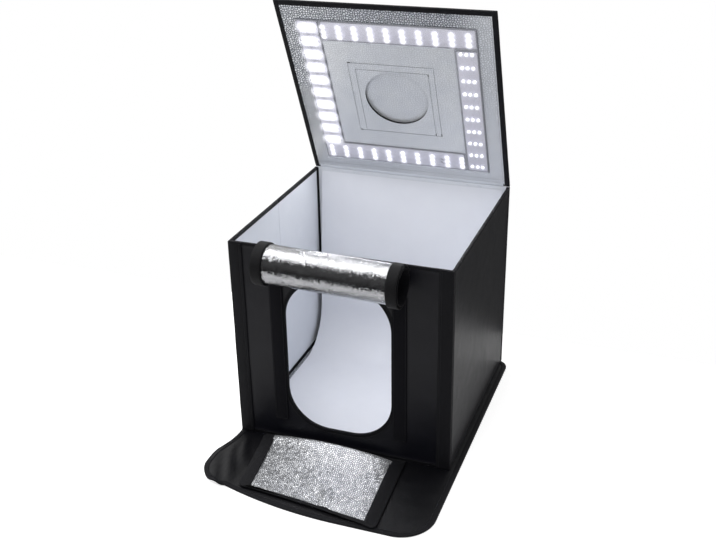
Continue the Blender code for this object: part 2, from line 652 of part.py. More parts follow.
def add_port_cover(lid_axis):
    seam_height = LID_OUTER + GAP + PORT_SEAM_RADIUS
    axis = make_axis("port_cover_axis", lid_axis, (0, -PORT_SEAM_DISTANCE, seam_height))
    start = -PORT_TAPE_START
    hook_low = -PORT_SEAM_RADIUS
    hook_high = hook_low + PORT_TAPE_THICKNESS
    loop_low = hook_high + GAP
    loop_high = loop_low + PORT_TAPE_THICKNESS
    skin_low = loop_high + GAP

    hook = prism("port_hook_tape", [tape_frame(start)], hook_low, hook_high)
    add_object("port_hook_tape", hook, TAPE, lid_axis, (0, -PORT_SEAM_DISTANCE, seam_height))
    bead = cross_prism("port_cover_seam", [circle(0, 0, PORT_SEAM_RADIUS, ROUND_STEPS)],
                       -PORT_COVER_WIDTH / 2, PORT_COVER_WIDTH / 2)
    add_object("port_cover_seam", smooth(bead), PIPING, lid_axis, (0, -PORT_SEAM_DISTANCE, seam_height))

    add_object("port_loop_tape", prism("port_loop_tape", [tape_frame(start)], loop_low, loop_high), TAPE, axis)
    inner = PORT_COVER_WIDTH / 2 - PORT_TAPE_WIDTH - GAP
    far = PORT_TAPE_WIDTH + GAP - PORT_COVER_LENGTH
    lining = prism("port_cover_lining", [rectangle(-inner, far, inner, start)], loop_low, loop_high)
    add_object("port_cover_lining", lining, SILVER, axis)
    near = -(PORT_SEAM_RADIUS + GAP)
    half = PORT_COVER_WIDTH / 2
    radii = (PORT_COVER_RADIUS, PORT_COVER_RADIUS, 0, 0)
    skin = rounded_rectangle(-half, -PORT_COVER_LENGTH, half, near, radii)
    skin = [point for index, point in enumerate(skin) if point != skin[index - 1]]
    cover = prism("port_cover", [skin], skin_low, skin_low + PORT_COVER_SKIN)
    add_object("port_cover", cover, FABRIC, axis)


def add_lid_piping():
    bead = circle(LID_AXIS_Y, LID_AXIS_Z, PIPING_RADIUS, ROUND_STEPS)
    mesh = cross_prism("lid_hinge_piping", [bead], -HALF_WIDTH, HALF_WIDTH)
    add_object("lid_hinge_piping", smooth(mesh), PIPING)


clear_scene()
FABRIC = make_material("black polyester", (0.012, 0.012, 0.015), 0.62)
MAT_FABRIC = make_material("black mat polyester", (0.012, 0.012, 0.014), 0.66)
HEM = make_material("black hem cloth", (0.010, 0.010, 0.012), 0.7)
WEBBING = make_material("black webbing", (0.010, 0.010, 0.012), 0.75)
TAPE = make_material("black hook and loop tape", (0.014, 0.014, 0.016), 0.85)
PIPING = make_material("black piping", (0.010, 0.010, 0.012), 0.6)
BOARD = make_material("grey stiffener board", (0.25, 0.25, 0.26), 0.7)
SILVER = make_material("embossed silver foil cloth", (0.62, 0.63, 0.66), 0.32, 0.85)
WHITE = make_material("white lining cloth", (0.62, 0.64, 0.72), 0.6)
SHEET = make_material("white background sheet", (0.72, 0.73, 0.78), 0.55)
LED_BOARD = make_material("white light board", (0.78, 0.78, 0.86), 0.45)
CLEAR = make_material("clear acrylic", (0.9, 0.9, 0.92), 0.12)
SOCKET = make_material("black socket plastic", (0.02, 0.02, 0.02), 0.4)
METAL = make_material("nickelled contact", (0.7, 0.69, 0.66), 0.25, 1.0)

add_base()
add_background_sheet()
add_rear_wall()
add_lid_piping()
front_axes = add_sides()
front_wall_axis = make_axis("front_wall_axis", front_axes["left"], (CREASE_X - INNER_X, -HINGE_Y, 0))
add_front_wall(front_wall_axis)
from_front_hinge = (INNER_X, HINGE_Y)
upper_place = (from_front_hinge[0], from_front_hinge[1] + UPPER_AXIS_Y, UPPER_AXIS_Z)
add_upper_seam(front_wall_axis, upper_place)
add_upper_cover(make_axis("upper_cover_axis", front_wall_axis, upper_place))
lower_place = (from_front_hinge[0], from_front_hinge[1] + LOWER_AXIS_Y, LOWER_AXIS_Z)
add_lower_seam(front_wall_axis, lower_place)
add_lower_cover(make_axis("lower_cover_axis", front_wall_axis, lower_place))
lid_hinge_axis = make_axis("lid_axis", None, (0, LID_AXIS_Y, LID_AXIS_Z), (-math.radians(LID_OPEN_DEG), 0, 0))
add_lid(lid_hinge_axis)
add_light_bars(lid_hinge_axis)
add_power_inlet(lid_hinge_axis)
add_port_cover(lid_hinge_axis)
print("rolled cover, least gap between turns: %.2f mm" % (1000 * roll_least_gap()))
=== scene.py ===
# Looks of the folding light tent cube: cloth walls, foil covers, lighted top, white sweep and studio.
# Metres. A wall's own frame has X to the right and Y up as seen from outside, with its outer face at z = 0.
import math

import bpy
import numpy as np
from mathutils import Matrix, Vector, noise


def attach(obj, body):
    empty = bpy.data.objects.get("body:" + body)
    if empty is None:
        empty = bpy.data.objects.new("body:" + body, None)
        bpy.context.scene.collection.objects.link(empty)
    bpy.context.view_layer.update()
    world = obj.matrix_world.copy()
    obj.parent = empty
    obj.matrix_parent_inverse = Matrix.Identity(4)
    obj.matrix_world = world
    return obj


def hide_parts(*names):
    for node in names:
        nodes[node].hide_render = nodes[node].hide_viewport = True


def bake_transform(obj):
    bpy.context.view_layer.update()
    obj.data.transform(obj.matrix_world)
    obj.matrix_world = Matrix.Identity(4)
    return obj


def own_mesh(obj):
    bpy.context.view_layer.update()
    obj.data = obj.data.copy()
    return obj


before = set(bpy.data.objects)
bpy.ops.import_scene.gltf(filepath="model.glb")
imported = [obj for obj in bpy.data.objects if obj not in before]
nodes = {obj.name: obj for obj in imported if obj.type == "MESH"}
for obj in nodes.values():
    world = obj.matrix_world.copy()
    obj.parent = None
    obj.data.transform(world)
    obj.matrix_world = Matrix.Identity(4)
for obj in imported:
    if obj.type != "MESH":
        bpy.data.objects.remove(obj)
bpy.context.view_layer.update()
noise.seed_set(4)  # noise_vector starts from the clock unless it gets a seed


def deselect():
    if bpy.context.object and bpy.context.object.mode != "OBJECT":
        bpy.ops.object.mode_set(mode="OBJECT")
    bpy.ops.object.select_all(action="DESELECT")


def hold(piece):
    # Selects one piece alone and makes it the active one.
    deselect()
    piece.select_set(True)
    bpy.context.view_layer.objects.active = piece
    return piece


def modify(piece, kind, **settings):
    # Adds a modifier and applies it.
    hold(piece)
    modifier = piece.modifiers.new(kind.title(), kind)
    for name, value in settings.items():
        setattr(modifier, name, value)
    bpy.ops.object.modifier_apply(modifier=modifier.name)
    return piece


def named(name, scale):
    # Gives the fresh primitive its name and bakes its size and place into the mesh.
    piece = bpy.context.object
    piece.name = piece.data.name = name
    piece.scale = scale
    bpy.ops.object.transform_apply(location=True, rotation=True, scale=True)
    return piece


def addBlock(name, low, high):
    low, high = Vector(low), Vector(high)
    deselect()
    bpy.ops.mesh.primitive_cube_add(size=1, location=(low + high) / 2)
    return named(name, high - low)


def addSheet(name, left, bottom, right, top, level=0, spacing=0.006):
    # A flat grid with a point every `spacing` metres.
    columns, rows = max(1, round((right - left) / spacing)), max(1, round((top - bottom) / spacing))
    deselect()
    middle = ((left + right) / 2, (bottom + top) / 2, level)
    bpy.ops.mesh.primitive_grid_add(x_subdivisions=columns, y_subdivisions=rows, size=1, location=middle)
    return named(name, (right - left, top - bottom, 1))


def edit(piece, operator, edges=None, faces=None, **settings):
    # Runs a mesh operator on edges picked by their two ends, or on faces picked by their middle and normal.
    hold(piece)
    mesh = piece.data
    bpy.ops.object.mode_set(mode="EDIT")
    bpy.ops.mesh.select_mode(type="FACE" if faces else "EDGE")
    bpy.ops.mesh.select_all(action="DESELECT")
    bpy.ops.object.mode_set(mode="OBJECT")
    if faces:
        for face in mesh.polygons:
            face.select = faces(face.center, face.normal)
    if edges:
        for edge in mesh.edges:
            first, last = (mesh.vertices[index].co for index in edge.vertices)
            edge.select = edges(first, last)
    bpy.ops.object.mode_set(mode="EDIT")
    operator(**settings)
    bpy.ops.object.mode_set(mode="OBJECT")
    return piece


def roundCorners(piece, radius, segments=16, where=None):
    # Rounds the upright edges of a block.
    return edit(piece, bpy.ops.mesh.bevel, lambda a, b: abs(a.z - b.z) > 1e-5 and (where is None or where(a)),
                offset=radius, segments=segments, affect="EDGES")


def crossCut(piece, axis, spacing):
    # Subdivides a block's edges that run along the axis, so that the strip can pucker.
    length = max(v.co[axis] for v in piece.data.vertices) - min(v.co[axis] for v in piece.data.vertices)
    return edit(piece, bpy.ops.mesh.subdivide, lambda a, b: abs(a[axis] - b[axis]) > length * 0.9,
                number_cuts=max(1, round(length / spacing)))


def cutOut(piece, cutter, operation="DIFFERENCE"):
    # Takes the cutter out of the piece, or keeps only what lies in it, and removes the cutter.
    modify(piece, "BOOLEAN", object=cutter, operation=operation, solver="EXACT")
    bpy.data.objects.remove(cutter)
    return piece


def shape(piece, move):
    # Moves every point by a function of its place.
    for vertex in piece.data.vertices:
        vertex.co = move(vertex.co.copy())
    piece.data.update()
    return piece


def clamp(value):
    return min(1.0, max(0.0, value))


def smooth(value, low, high):
    share = clamp((value - low) / (high - low))
    return share * share * (3 - 2 * share)


def ripple(x, y, size, seed):
    return noise.noise(Vector((x / size, y / size, seed)))


def roughen(piece, amount, size, seed):
    # Small wrinkles of sewn cloth, `size` metres across.
    def move(p):
        offset = noise.noise_vector(Vector((p.x / size, p.y / size, p.z / size + seed)))
        return p + offset * amount
    return shape(piece, move)


def joined(name, pieces):
    deselect()
    for piece in pieces:
        piece.select_set(True)
    bpy.context.view_layer.objects.active = pieces[0]
    bpy.ops.object.join()
    pieces[0].name = pieces[0].data.name = name
    return pieces[0]


def rightWayOut(piece):
    # Merges doubles and turns all faces outwards.
    hold(piece)
    bpy.ops.object.mode_set(mode="EDIT")
    bpy.ops.mesh.select_all(action="SELECT")
    bpy.ops.mesh.remove_doubles(threshold=1e-6)
    bpy.ops.mesh.normals_make_consistent(inside=False)
    bpy.ops.object.mode_set(mode="OBJECT")
    return piece


def layCloth(piece):
    # UV in metres, from the side that each face looks to, so weaves keep their real size.
    mesh = piece.data
    layer = mesh.uv_layers.get("Cloth") or mesh.uv_layers.new(name="Cloth")
    mesh.uv_layers.active = layer
    for face in mesh.polygons:
        n = [abs(value) for value in face.normal]
        u, v = {0: (1, 2), 1: (0, 2), 2: (0, 1)}[n.index(max(n))]
        for loop in face.loop_indices:
            place = mesh.vertices[mesh.loops[loop].vertex_index].co
            layer.data[loop].uv = (place[u], place[v])
    return piece


def thicken(piece, thickness, offset=-1):
    modify(piece, "SOLIDIFY", thickness=thickness, offset=offset, use_even_offset=True)
    return rightWayOut(piece)


def soften(piece, width, segments=2, angle=50):
    return modify(piece, "BEVEL", width=width, segments=segments, limit_method="ANGLE",
                  angle_limit=math.radians(angle), harden_normals=False)


def dress(piece, material, place=None, body=None, stands=(), angle=45):
    # Puts a finished piece in its place, with its material, and says which body it rides on and which
    # CAD nodes it stands for.
    if place is not None:
        piece.data.transform(place)
    hold(piece)
    bpy.ops.object.shade_smooth_by_angle(angle=math.radians(angle))
    piece.data.materials.clear()
    piece.data.materials.append(material)
    if body:
        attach(piece, body)
    if stands:
        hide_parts(*stands)
    return piece


def sew(name, lines, thread, place, body, stitch=0.0030, pitch=0.0042, width=0.0007, level=0.0003):
    # One stitch, repeated along each line of points by Array and bent onto it by Curve.
    rows = []
    for line, closed in lines:
        path = bpy.data.curves.new("seamLine", "CURVE")
        path.dimensions = "3D"
        path.twist_mode = "Z_UP"
        spline = path.splines.new("POLY")
        spline.points.add(len(line) - 1)
        for point, (x, y) in zip(spline.points, line):
            point.co = (x, y, level, 1)
        spline.use_cyclic_u = closed
        guide = bpy.data.objects.new("seamLine", path)
        bpy.context.scene.collection.objects.link(guide)
        deselect()
        bpy.ops.mesh.primitive_ico_sphere_add(subdivisions=1, radius=1, location=(stitch / 2, 0, 0))
        one = named("stitch", (stitch / 2, width / 2, width / 2))
        modify(one, "ARRAY", fit_type="FIT_CURVE", curve=guide, use_relative_offset=False,
               use_constant_offset=True, constant_offset_displace=(pitch, 0, 0))
        modify(one, "CURVE", object=guide, deform_axis="POS_X")
        bpy.data.objects.remove(guide)
        rows.append(one)
    seam = joined(name, rows) if len(rows) > 1 else rows[0]
    seam.name = seam.data.name = name
    return dress(seam, thread, place, body, angle=80)


def boxLine(left, bottom, right, top):
    return [(left, bottom), (right, bottom), (right, top), (left, top)], True


def roundLine(left, bottom, right, top, radius, steps=10):
    line = []
    for x, y, start in ((left + radius, bottom + radius, 180), (right - radius, bottom + radius, 270),
                        (right - radius, top - radius, 0), (left + radius, top - radius, 90)):
        for step in range(steps + 1):
            turn = math.radians(start + 90 * step / steps)
            line.append((x + radius * math.cos(turn), y + radius * math.sin(turn)))
    return line, True


def hexColour(text):
    # sRGB hex to linear, with full alpha.
    values = [int(text[index:index + 2], 16) / 255 for index in (1, 3, 5)]
    return tuple(v / 12.92 if v <= 0.04045 else ((v + 0.055) / 1.055) ** 2.4 for v in values) + (1,)


def addNode(tree, kind, settings=None, links=None):
    made = tree.nodes.new(kind)
    for key, value in (settings or {}).items():
        if isinstance(key, str) and hasattr(made, key):
            setattr(made, key, value)
        else:
            made.inputs[key].default_value = value
    for key, source in (links or {}).items():
        tree.links.new(source, made.inputs[key])
    return made


def waves(spacing):
    # A Wave Texture has one band every 0.314 units, so this scale gives one every `spacing` metres.
    return 0.31416 / spacing


def newMaterial(name):
    made = bpy.data.materials.new(name)
    made.use_nodes = True
    tree = made.node_tree
    tree.nodes.clear()
    output = addNode(tree, "ShaderNodeOutputMaterial")
    return made, tree, output


def clothMaterial(name, dark, light, thread, roughness, sheen=0.0, weave=0.25, drape=0.3, drapeSize=0.05,
                  specular=0.5, fuzz=0.0, wear="#3A3A40"):
    # Woven cloth: crossed bands of thread for the weave, slow noise for colour and drape, lint at the ridges.
    made, tree, output = newMaterial(name)
    uv = addNode(tree, "ShaderNodeUVMap", {"uv_map": "Cloth"}).outputs["UV"]
    place = addNode(tree, "ShaderNodeTexCoord").outputs["Object"]
    warp, weft = (addNode(tree, "ShaderNodeTexWave", {"bands_direction": direction, "Scale": waves(thread),
                                                      "Distortion": 0.6, "Detail": 1.0}, {"Vector": uv})
                  for direction in "XY")
    crossed = addNode(tree, "ShaderNodeMath", {"operation": "MAXIMUM"},
                      {0: warp.outputs["Fac"], 1: weft.outputs["Fac"]})
    slow = addNode(tree, "ShaderNodeTexNoise", {"Scale": 1 / 0.045, "Detail": 4.0, "Roughness": 0.6},
                   {"Vector": place})
    lint = addNode(tree, "ShaderNodeTexNoise", {"Scale": 1 / 0.0015, "Detail": 2.0, "Roughness": 0.7},
                   {"Vector": place})
    lintShare = addNode(tree, "ShaderNodeMath", {"operation": "MULTIPLY", 1: 0.35}, {0: lint.outputs["Fac"]})
    share = addNode(tree, "ShaderNodeMath", {"operation": "MULTIPLY_ADD", 1: 0.65},
                    {0: slow.outputs["Fac"], 2: lintShare.outputs[0]})
    tone = addNode(tree, "ShaderNodeMix", {"data_type": "RGBA", 6: hexColour(dark), 7: hexColour(light)},
                   {"Factor": share.outputs[0]})
    # Ridges and edges are rubbed lighter.
    ridges = addNode(tree, "ShaderNodeNewGeometry").outputs["Pointiness"]
    worn = addNode(tree, "ShaderNodeMapRange",
                   {"From Min": 0.52, "From Max": 0.62, "To Min": 0.0, "To Max": 0.25}, {"Value": ridges})
    edge = addNode(tree, "ShaderNodeMix", {"data_type": "RGBA", 7: hexColour(wear)},
                   {"Factor": worn.outputs[0], 6: tone.outputs[2]})
    rough = addNode(tree, "ShaderNodeMapRange", {"To Min": roughness - 0.07, "To Max": roughness + 0.07},
                    {"Value": slow.outputs["Fac"]})
    ripples = addNode(tree, "ShaderNodeTexNoise", {"Scale": 1 / drapeSize, "Detail": 2.0, "Roughness": 0.45},
                      {"Vector": place})
    bumpSlow = addNode(tree, "ShaderNodeBump", {"Strength": drape, "Distance": 0.004},
                       {"Height": ripples.outputs["Fac"]})
    bumpFuzz = addNode(tree, "ShaderNodeBump", {"Strength": 0.15 + fuzz, "Distance": 0.0006},
                       {"Height": lint.outputs["Fac"], "Normal": bumpSlow.outputs[0]})
    bump = addNode(tree, "ShaderNodeBump", {"Strength": weave, "Distance": 0.0003},
                   {"Height": crossed.outputs[0], "Normal": bumpFuzz.outputs[0]})
    surface = addNode(tree, "ShaderNodeBsdfPrincipled",
                      {"IOR": 1.5, "Sheen Weight": sheen, "Sheen Roughness": 0.5,
                       "Specular IOR Level": specular},
                      {"Base Color": edge.outputs[2], "Roughness": rough.outputs[0],
                       "Normal": bump.outputs[0]})
    tree.links.new(surface.outputs[0], output.inputs["Surface"])
    return made


def foilMaterial(name, dark, light, grooveShadeColour, grain, roughness, depth=0.8, crease=0.25, mirror=0.9,
                 sparkle=0.0):
    # Aluminised foil laminated on cloth and embossed: bright pebbles, each tipped its own way, so that they
    # flash or go dark, between grooves darkened by dust and by painted shade. The "press" attribute says how
    # deep the embossing is, how dark that painted groove shade is, and how mirror-like the foil still is
    # there.
    made, tree, output = newMaterial(name)
    uv = addNode(tree, "ShaderNodeUVMap", {"uv_map": "Cloth"}).outputs["UV"]
    press = addNode(tree, "ShaderNodeAttribute", {"attribute_name": "press"}).outputs["Fac"]
    wander = addNode(tree, "ShaderNodeTexNoise", {"Scale": 1 / 0.006, "Detail": 1.0}, {"Vector": uv})
    pushed = addNode(tree, "ShaderNodeVectorMath", {"operation": "MULTIPLY_ADD", 1: (0.0016, 0.0016, 0)},
                     {0: wander.outputs["Color"], 2: uv})
    # The same scatter of pebbles twice: how far each point is from the grooves, and a number for each pebble.
    scatter = {"voronoi_dimensions": "2D", "Scale": 1 / grain, "Randomness": 0.85}
    pebbles, cells = (addNode(tree, "ShaderNodeTexVoronoi", {"feature": feature, **scatter},
                              {"Vector": pushed.outputs[0]}) for feature in ("DISTANCE_TO_EDGE", "F1"))
    swell = addNode(tree, "ShaderNodeMapRange",
                    {"interpolation_type": "SMOOTHSTEP", "From Min": 0.03, "From Max": 0.34},
                    {"Value": pebbles.outputs["Distance"]})
    slow = addNode(tree, "ShaderNodeTexNoise", {"Scale": 1 / 0.03, "Detail": 1.5, "Roughness": 0.4},
                   {"Vector": uv})
    fine = addNode(tree, "ShaderNodeTexNoise", {"Scale": 1 / 0.0012, "Detail": 2.0}, {"Vector": uv})
    tone = addNode(tree, "ShaderNodeMix", {"data_type": "RGBA", 6: hexColour(dark), 7: hexColour(light)},
                   {"Factor": slow.outputs["Fac"]})
    # Painted shade, with some dust: the grooves take the darker groove colour, more where the embossing is
    # deeper.
    sunk = addNode(tree, "ShaderNodeMath", {"operation": "SUBTRACT", 0: 1.0}, {1: swell.outputs[0]})
    grooveShadeShare = addNode(tree, "ShaderNodeMath", {"operation": "MULTIPLY"}, {0: sunk.outputs[0], 1: press})
    grooveShadedTone = addNode(tree, "ShaderNodeMix", {"data_type": "RGBA", 7: hexColour(grooveShadeColour)},
                      {"Factor": grooveShadeShare.outputs[0], 6: tone.outputs[2]})
    rough = addNode(tree, "ShaderNodeMapRange", {"To Min": roughness - 0.08, "To Max": roughness + 0.10},
                    {"Value": fine.outputs["Fac"]})
    creases = addNode(tree, "ShaderNodeBump", {"Strength": crease, "Distance": 0.003},
                      {"Height": slow.outputs["Fac"]})
    strength = addNode(tree, "ShaderNodeMath", {"operation": "MULTIPLY", 1: depth}, {0: press})
    bump = addNode(tree, "ShaderNodeBump", {"Distance": 0.0007},
                   {"Height": swell.outputs[0], "Strength": strength.outputs[0],
                    "Normal": creases.outputs[0]})
    tip = addNode(tree, "ShaderNodeVectorMath", {"operation": "SUBTRACT", 1: (0.5, 0.5, 0.5)},
                  {0: cells.outputs["Color"]})
    tipShare = addNode(tree, "ShaderNodeMath", {"operation": "MULTIPLY", 1: sparkle}, {0: press})
    tipped = addNode(tree, "ShaderNodeVectorMath", {"operation": "SCALE"},
                     {0: tip.outputs[0], "Scale": tipShare.outputs[0]})
    turned = addNode(tree, "ShaderNodeVectorMath", {"operation": "ADD"},
                     {0: bump.outputs[0], 1: tipped.outputs[0]})
    facing = addNode(tree, "ShaderNodeVectorMath", {"operation": "NORMALIZE"}, {0: turned.outputs[0]})
    metal = addNode(tree, "ShaderNodeMapRange", {"To Min": 0.20, "To Max": mirror}, {"Value": press})
    surface = addNode(tree, "ShaderNodeBsdfPrincipled", {"Specular IOR Level": 0.5},
                      {"Base Color": grooveShadedTone.outputs[2], "Roughness": rough.outputs[0],
                       "Normal": facing.outputs[0], "Metallic": metal.outputs[0]})
    tree.links.new(surface.outputs[0], output.inputs["Surface"])
    return made


def glowMaterial(name, colour, power):
    # Light scattered in the clear cover round each emitter: full in the middle, fading to nothing at the rim.
    made, tree, output = newMaterial(name)
    uv = addNode(tree, "ShaderNodeUVMap", {"uv_map": "Spot"}).outputs["UV"]
    ring = addNode(tree, "ShaderNodeTexGradient", {"gradient_type": "QUADRATIC_SPHERE"}, {"Vector": uv})
    grain = addNode(tree, "ShaderNodeTexNoise", {"Scale": 12.0, "Detail": 2.0}, {"Vector": uv})
    soft = addNode(tree, "ShaderNodeMath", {"operation": "MULTIPLY_ADD", 1: 0.15, 2: 0.92},
                   {0: grain.outputs["Fac"]})
    share = addNode(tree, "ShaderNodeMath", {"operation": "MULTIPLY", "use_clamp": True},
                    {0: ring.outputs["Fac"], 1: soft.outputs[0]})
    surface = addNode(tree, "ShaderNodeBsdfPrincipled",
                      {"Base Color": hexColour("#F4F4FA"), "Roughness": 0.5, "IOR": 1.5,
                       "Emission Color": hexColour(colour), "Emission Strength": power},
                      {"Alpha": share.outputs[0]})
    tree.links.new(surface.outputs[0], output.inputs["Surface"])
    return made


def plasticMaterial(name, dark, light, roughness, grain=0.0008, metallic=0.0, emission=None, power=0.0,
                    alpha=1.0):
    # Moulded or printed hard parts: faint mottling, fine grain and handling marks.
    made, tree, output = newMaterial(name)
    place = addNode(tree, "ShaderNodeTexCoord").outputs["Object"]
    slow = addNode(tree, "ShaderNodeTexNoise", {"Scale": 1 / 0.015, "Detail": 3.0}, {"Vector": place})
    fine = addNode(tree, "ShaderNodeTexNoise", {"Scale": 1 / grain, "Detail": 2.0}, {"Vector": place})
    tone = addNode(tree, "ShaderNodeMix", {"data_type": "RGBA", 6: hexColour(dark), 7: hexColour(light)},
                   {"Factor": slow.outputs["Fac"]})
    rough = addNode(tree, "ShaderNodeMapRange", {"To Min": roughness - 0.06, "To Max": roughness + 0.06},
                    {"Value": fine.outputs["Fac"]})
    bump = addNode(tree, "ShaderNodeBump", {"Strength": 0.15, "Distance": 0.0002},
                   {"Height": fine.outputs["Fac"]})
    settings = {"IOR": 1.5, "Metallic": metallic, "Alpha": alpha}
    if emission:
        settings.update({"Emission Color": hexColour(emission), "Emission Strength": power})
    surface = addNode(tree, "ShaderNodeBsdfPrincipled", settings,
                      {"Base Color": tone.outputs[2], "Roughness": rough.outputs[0],
                       "Normal": bump.outputs[0]})
    tree.links.new(surface.outputs[0], output.inputs["Surface"])
    return made


# Coated polyester Oxford cloth, 0.5 mm threads drawn at 0.9 mm so that they show: satin black, soft drape
wallCloth = clothMaterial("coated polyester Oxford cloth", "#09090E", "#14141B", 0.0009, 0.31, specular=0.25)
# The same cloth with less coating on the loose mat: softer, duller, with slow folds
matCloth = clothMaterial("soft polyester Oxford cloth", "#040407", "#09090E", 0.0009, 0.42, drape=0.5,
                         specular=0.30)
# Ribbed binding tape and turned hems: dull, with 1.2 mm ribs
hemCloth = clothMaterial("ribbed polyester binding", "#08080B", "#101015", 0.0012, 0.62, sheen=0.02,
                         weave=0.5, specular=0.16)
# Strap webbing, 2 mm ribs across its width
webbing = clothMaterial("nylon strap webbing", "#09090B", "#121215", 0.0020, 0.66, sheen=0.04, weave=0.9,
                        specular=0.18)
# Loop side of hook and loop tape: a fuzzy pile that takes no highlight
loopTape = clothMaterial("nylon loop tape", "#09090C", "#111116", 0.0014, 0.85, sheen=0.02, weave=0.3,
                         fuzz=0.5, specular=0.08)
# White hook tape on the lining: matte and slightly grey beside it
whiteTape = clothMaterial("white nylon hook tape", "#CBCED6", "#DADDE4", 0.0014, 0.8, weave=0.3, fuzz=0.4,
                          specular=0.2, wear="#E4E6EC")
# Cloth wrapped round a cord and sewn into a seam: a dull black line with a soft edge
pipingCloth = clothMaterial("polyester piping", "#0A0A0C", "#141417", 0.0012, 0.55, sheen=0.02, weave=0.5,
                            specular=0.2)
# White nylon lining with a light coat: pale lavender, soft satin
whiteLining = clothMaterial("coated white nylon lining", "#D3D7DF", "#E2E5EB", 0.0009, 0.5, weave=0.12,
                            drape=0.18, drapeSize=0.06, wear="#E4E6EC")
# White PVC-coated background cloth: matte, nearly without weave
sweepCloth = clothMaterial("matte white background cloth", "#DCDEE6", "#E6E8EE", 0.0012, 0.62, weave=0.06,
                           drape=0.10, drapeSize=0.12, wear="#E8EAF0")
# Foil of the rolled cover: 1.5 mm pebbles, drawn at 2.4 mm so that they show, that break up its reflections
coverFoil = foilMaterial("embossed foil cloth", "#E6E7EA", "#FAFAFB", "#4A4C52", 0.0024, 0.16, depth=0.12,
                         crease=0.0, mirror=0.97, sparkle=0.20)
# The same foil on the cover that lies on the mat, rubbed to a light haze, its pebbles drawn at 3.6 mm
flapFoil = foilMaterial("rubbed embossed foil cloth", "#E8EAEE", "#FFFFFF", "#787A80", 0.0036, 0.20,
                        depth=0.32, crease=0.15, mirror=0.58, sparkle=0.34)
# Foil lining of the top: 3 mm pebbles drawn at 4.4 mm, pressed flatter and duller inside the four light bars
liningFoil = foilMaterial("embossed foil lining", "#E4E7ED", "#F4F6F8", "#5A5E66", 0.0044, 0.28, depth=0.42,
                          crease=0.06, mirror=0.62, sparkle=0.08)
# Pressed fibre board inside the walls: dull mid grey, with 2 mm flecks
greyBoard = plasticMaterial("grey stiffener board", "#6E6E70", "#808083", 0.8, grain=0.002)
# Twisted polyester sewing thread: a faint satin, black on black cloth and grey on foil
blackThread = plasticMaterial("black polyester thread", "#141417", "#2A2A2F", 0.5, grain=0.0006)
greyThread = plasticMaterial("grey polyester thread", "#4C4E54", "#6E7078", 0.5, grain=0.0006)
# Circuit board with a white solder mask, lavender under its own light
boardMask = plasticMaterial("white solder mask", "#DCDAE8", "#E8E6F0", 0.35, grain=0.003)
# Foam tape that holds the bars: a dull grey rim round each, which is also painted shade for the dark line
# along each clear cover's edge
foamTape = plasticMaterial("grey foam mounting tape", "#7A7C82", "#8C8E94", 0.8, grain=0.001)
# Moulded emitter case: glossy white round its gel
ledCase = plasticMaterial("white light emitter case", "#E8E8EC", "#F4F4F6", 0.35, grain=0.001)
# Phosphor gel lit from below: the brightest spots of the picture
ledGlow = plasticMaterial("lit phosphor gel", "#FFFFFF", "#FBFBFF", 0.4, grain=0.001, emission="#F8F8FF",
                          power=5.0)
# Haze of that light in the cover: runs the emitters of a bar together
coverGlow = glowMaterial("light scattered in the cover", "#F9F8FF", 1.5)
# Tin solder on pads and wire ends: small bright points
solder = plasticMaterial("tin solder", "#A9A9AC", "#C9C9CC", 0.3, grain=0.001, metallic=1.0)
# Extruded acrylic cover: clear, with a sharp highlight
clearPlastic = plasticMaterial("clear extruded acrylic", "#E8EAF4", "#F2F3FA", 0.12, grain=0.004, alpha=0.16)
# Moulded ABS of the inlet: satin black, fine grain
blackPlastic = plasticMaterial("moulded black ABS", "#161618", "#212124", 0.42)
# Plated contact pin: warm grey metal
contactMetal = plasticMaterial("nickel-plated brass", "#B8B4AC", "#CFCBC2", 0.24, grain=0.0006, metallic=1.0)

print("materials made")


wall = {"bottom": 0.0043, "top": 0.3877, "half": 0.200, "sideHalf": 0.1949, "thickness": 0.0048,
        "binding": 0.007, "creaseHem": 0.003, "creaseGap": 0.00015, "dip": 0.0007, "tuck": 0.001,
        "stitchInset": 0.0016}
hinge = {"y": 0.1976, "z": 0.3904, "openDegrees": 65.3}
upright = Matrix.Rotation(math.radians(90), 4, "X")
places = {
    "front": Matrix.Translation((0, -wall["half"], 0)) @ upright,
    "rear": Matrix.Translation((0, wall["half"], 0)) @ Matrix.Rotation(math.radians(180), 4, "Z") @ upright,
    "right": Matrix.Translation((wall["half"], 0, 0)) @ Matrix.Rotation(math.radians(90), 4, "Z") @ upright,
    "left": Matrix.Translation((-wall["half"], 0, 0)) @ Matrix.Rotation(math.radians(-90), 4, "Z") @ upright,
}
# The top's own frame has X to the right and Y to its hinge, with the lining on the side of -Z.
lidPlace = (Matrix.Translation((0, hinge["y"], hinge["z"]))
            @ Matrix.Rotation(-math.radians(hinge["openDegrees"]), 4, "X"))


clothSkin = {"thickness": 0.0005, "slackReach": 0.012, "wideRipple": 0.07, "smallRipple": 0.022}


def clothFace(name, left, bottom, right, top, level, inward, dip, seed, hole=None, spacing=0.006):
    # A cloth skin that lies a little slack between its bindings. inward is -1 for an outer skin and 1 for
    # a lining.
    piece = addSheet(name, left, bottom, right, top, level, spacing)

    def slack(p):
        border = min(p.x - left, right - p.x, p.y - bottom, top - p.y)
        ease = clamp(border / clothSkin["slackReach"]) ** 0.5
        depth = (0.35 + 0.45 * ripple(p.x, p.y, clothSkin["wideRipple"], seed)
                 + 0.2 * ripple(p.x, p.y, clothSkin["smallRipple"], seed + 7))
        return p + Vector((0, 0, inward * dip * (0.15 + ease * max(0.0, depth))))
    shape(piece, slack)
    layCloth(piece)
    thicken(piece, clothSkin["thickness"], offset=inward)
    if hole:
        cutOut(piece, hole)
    return piece


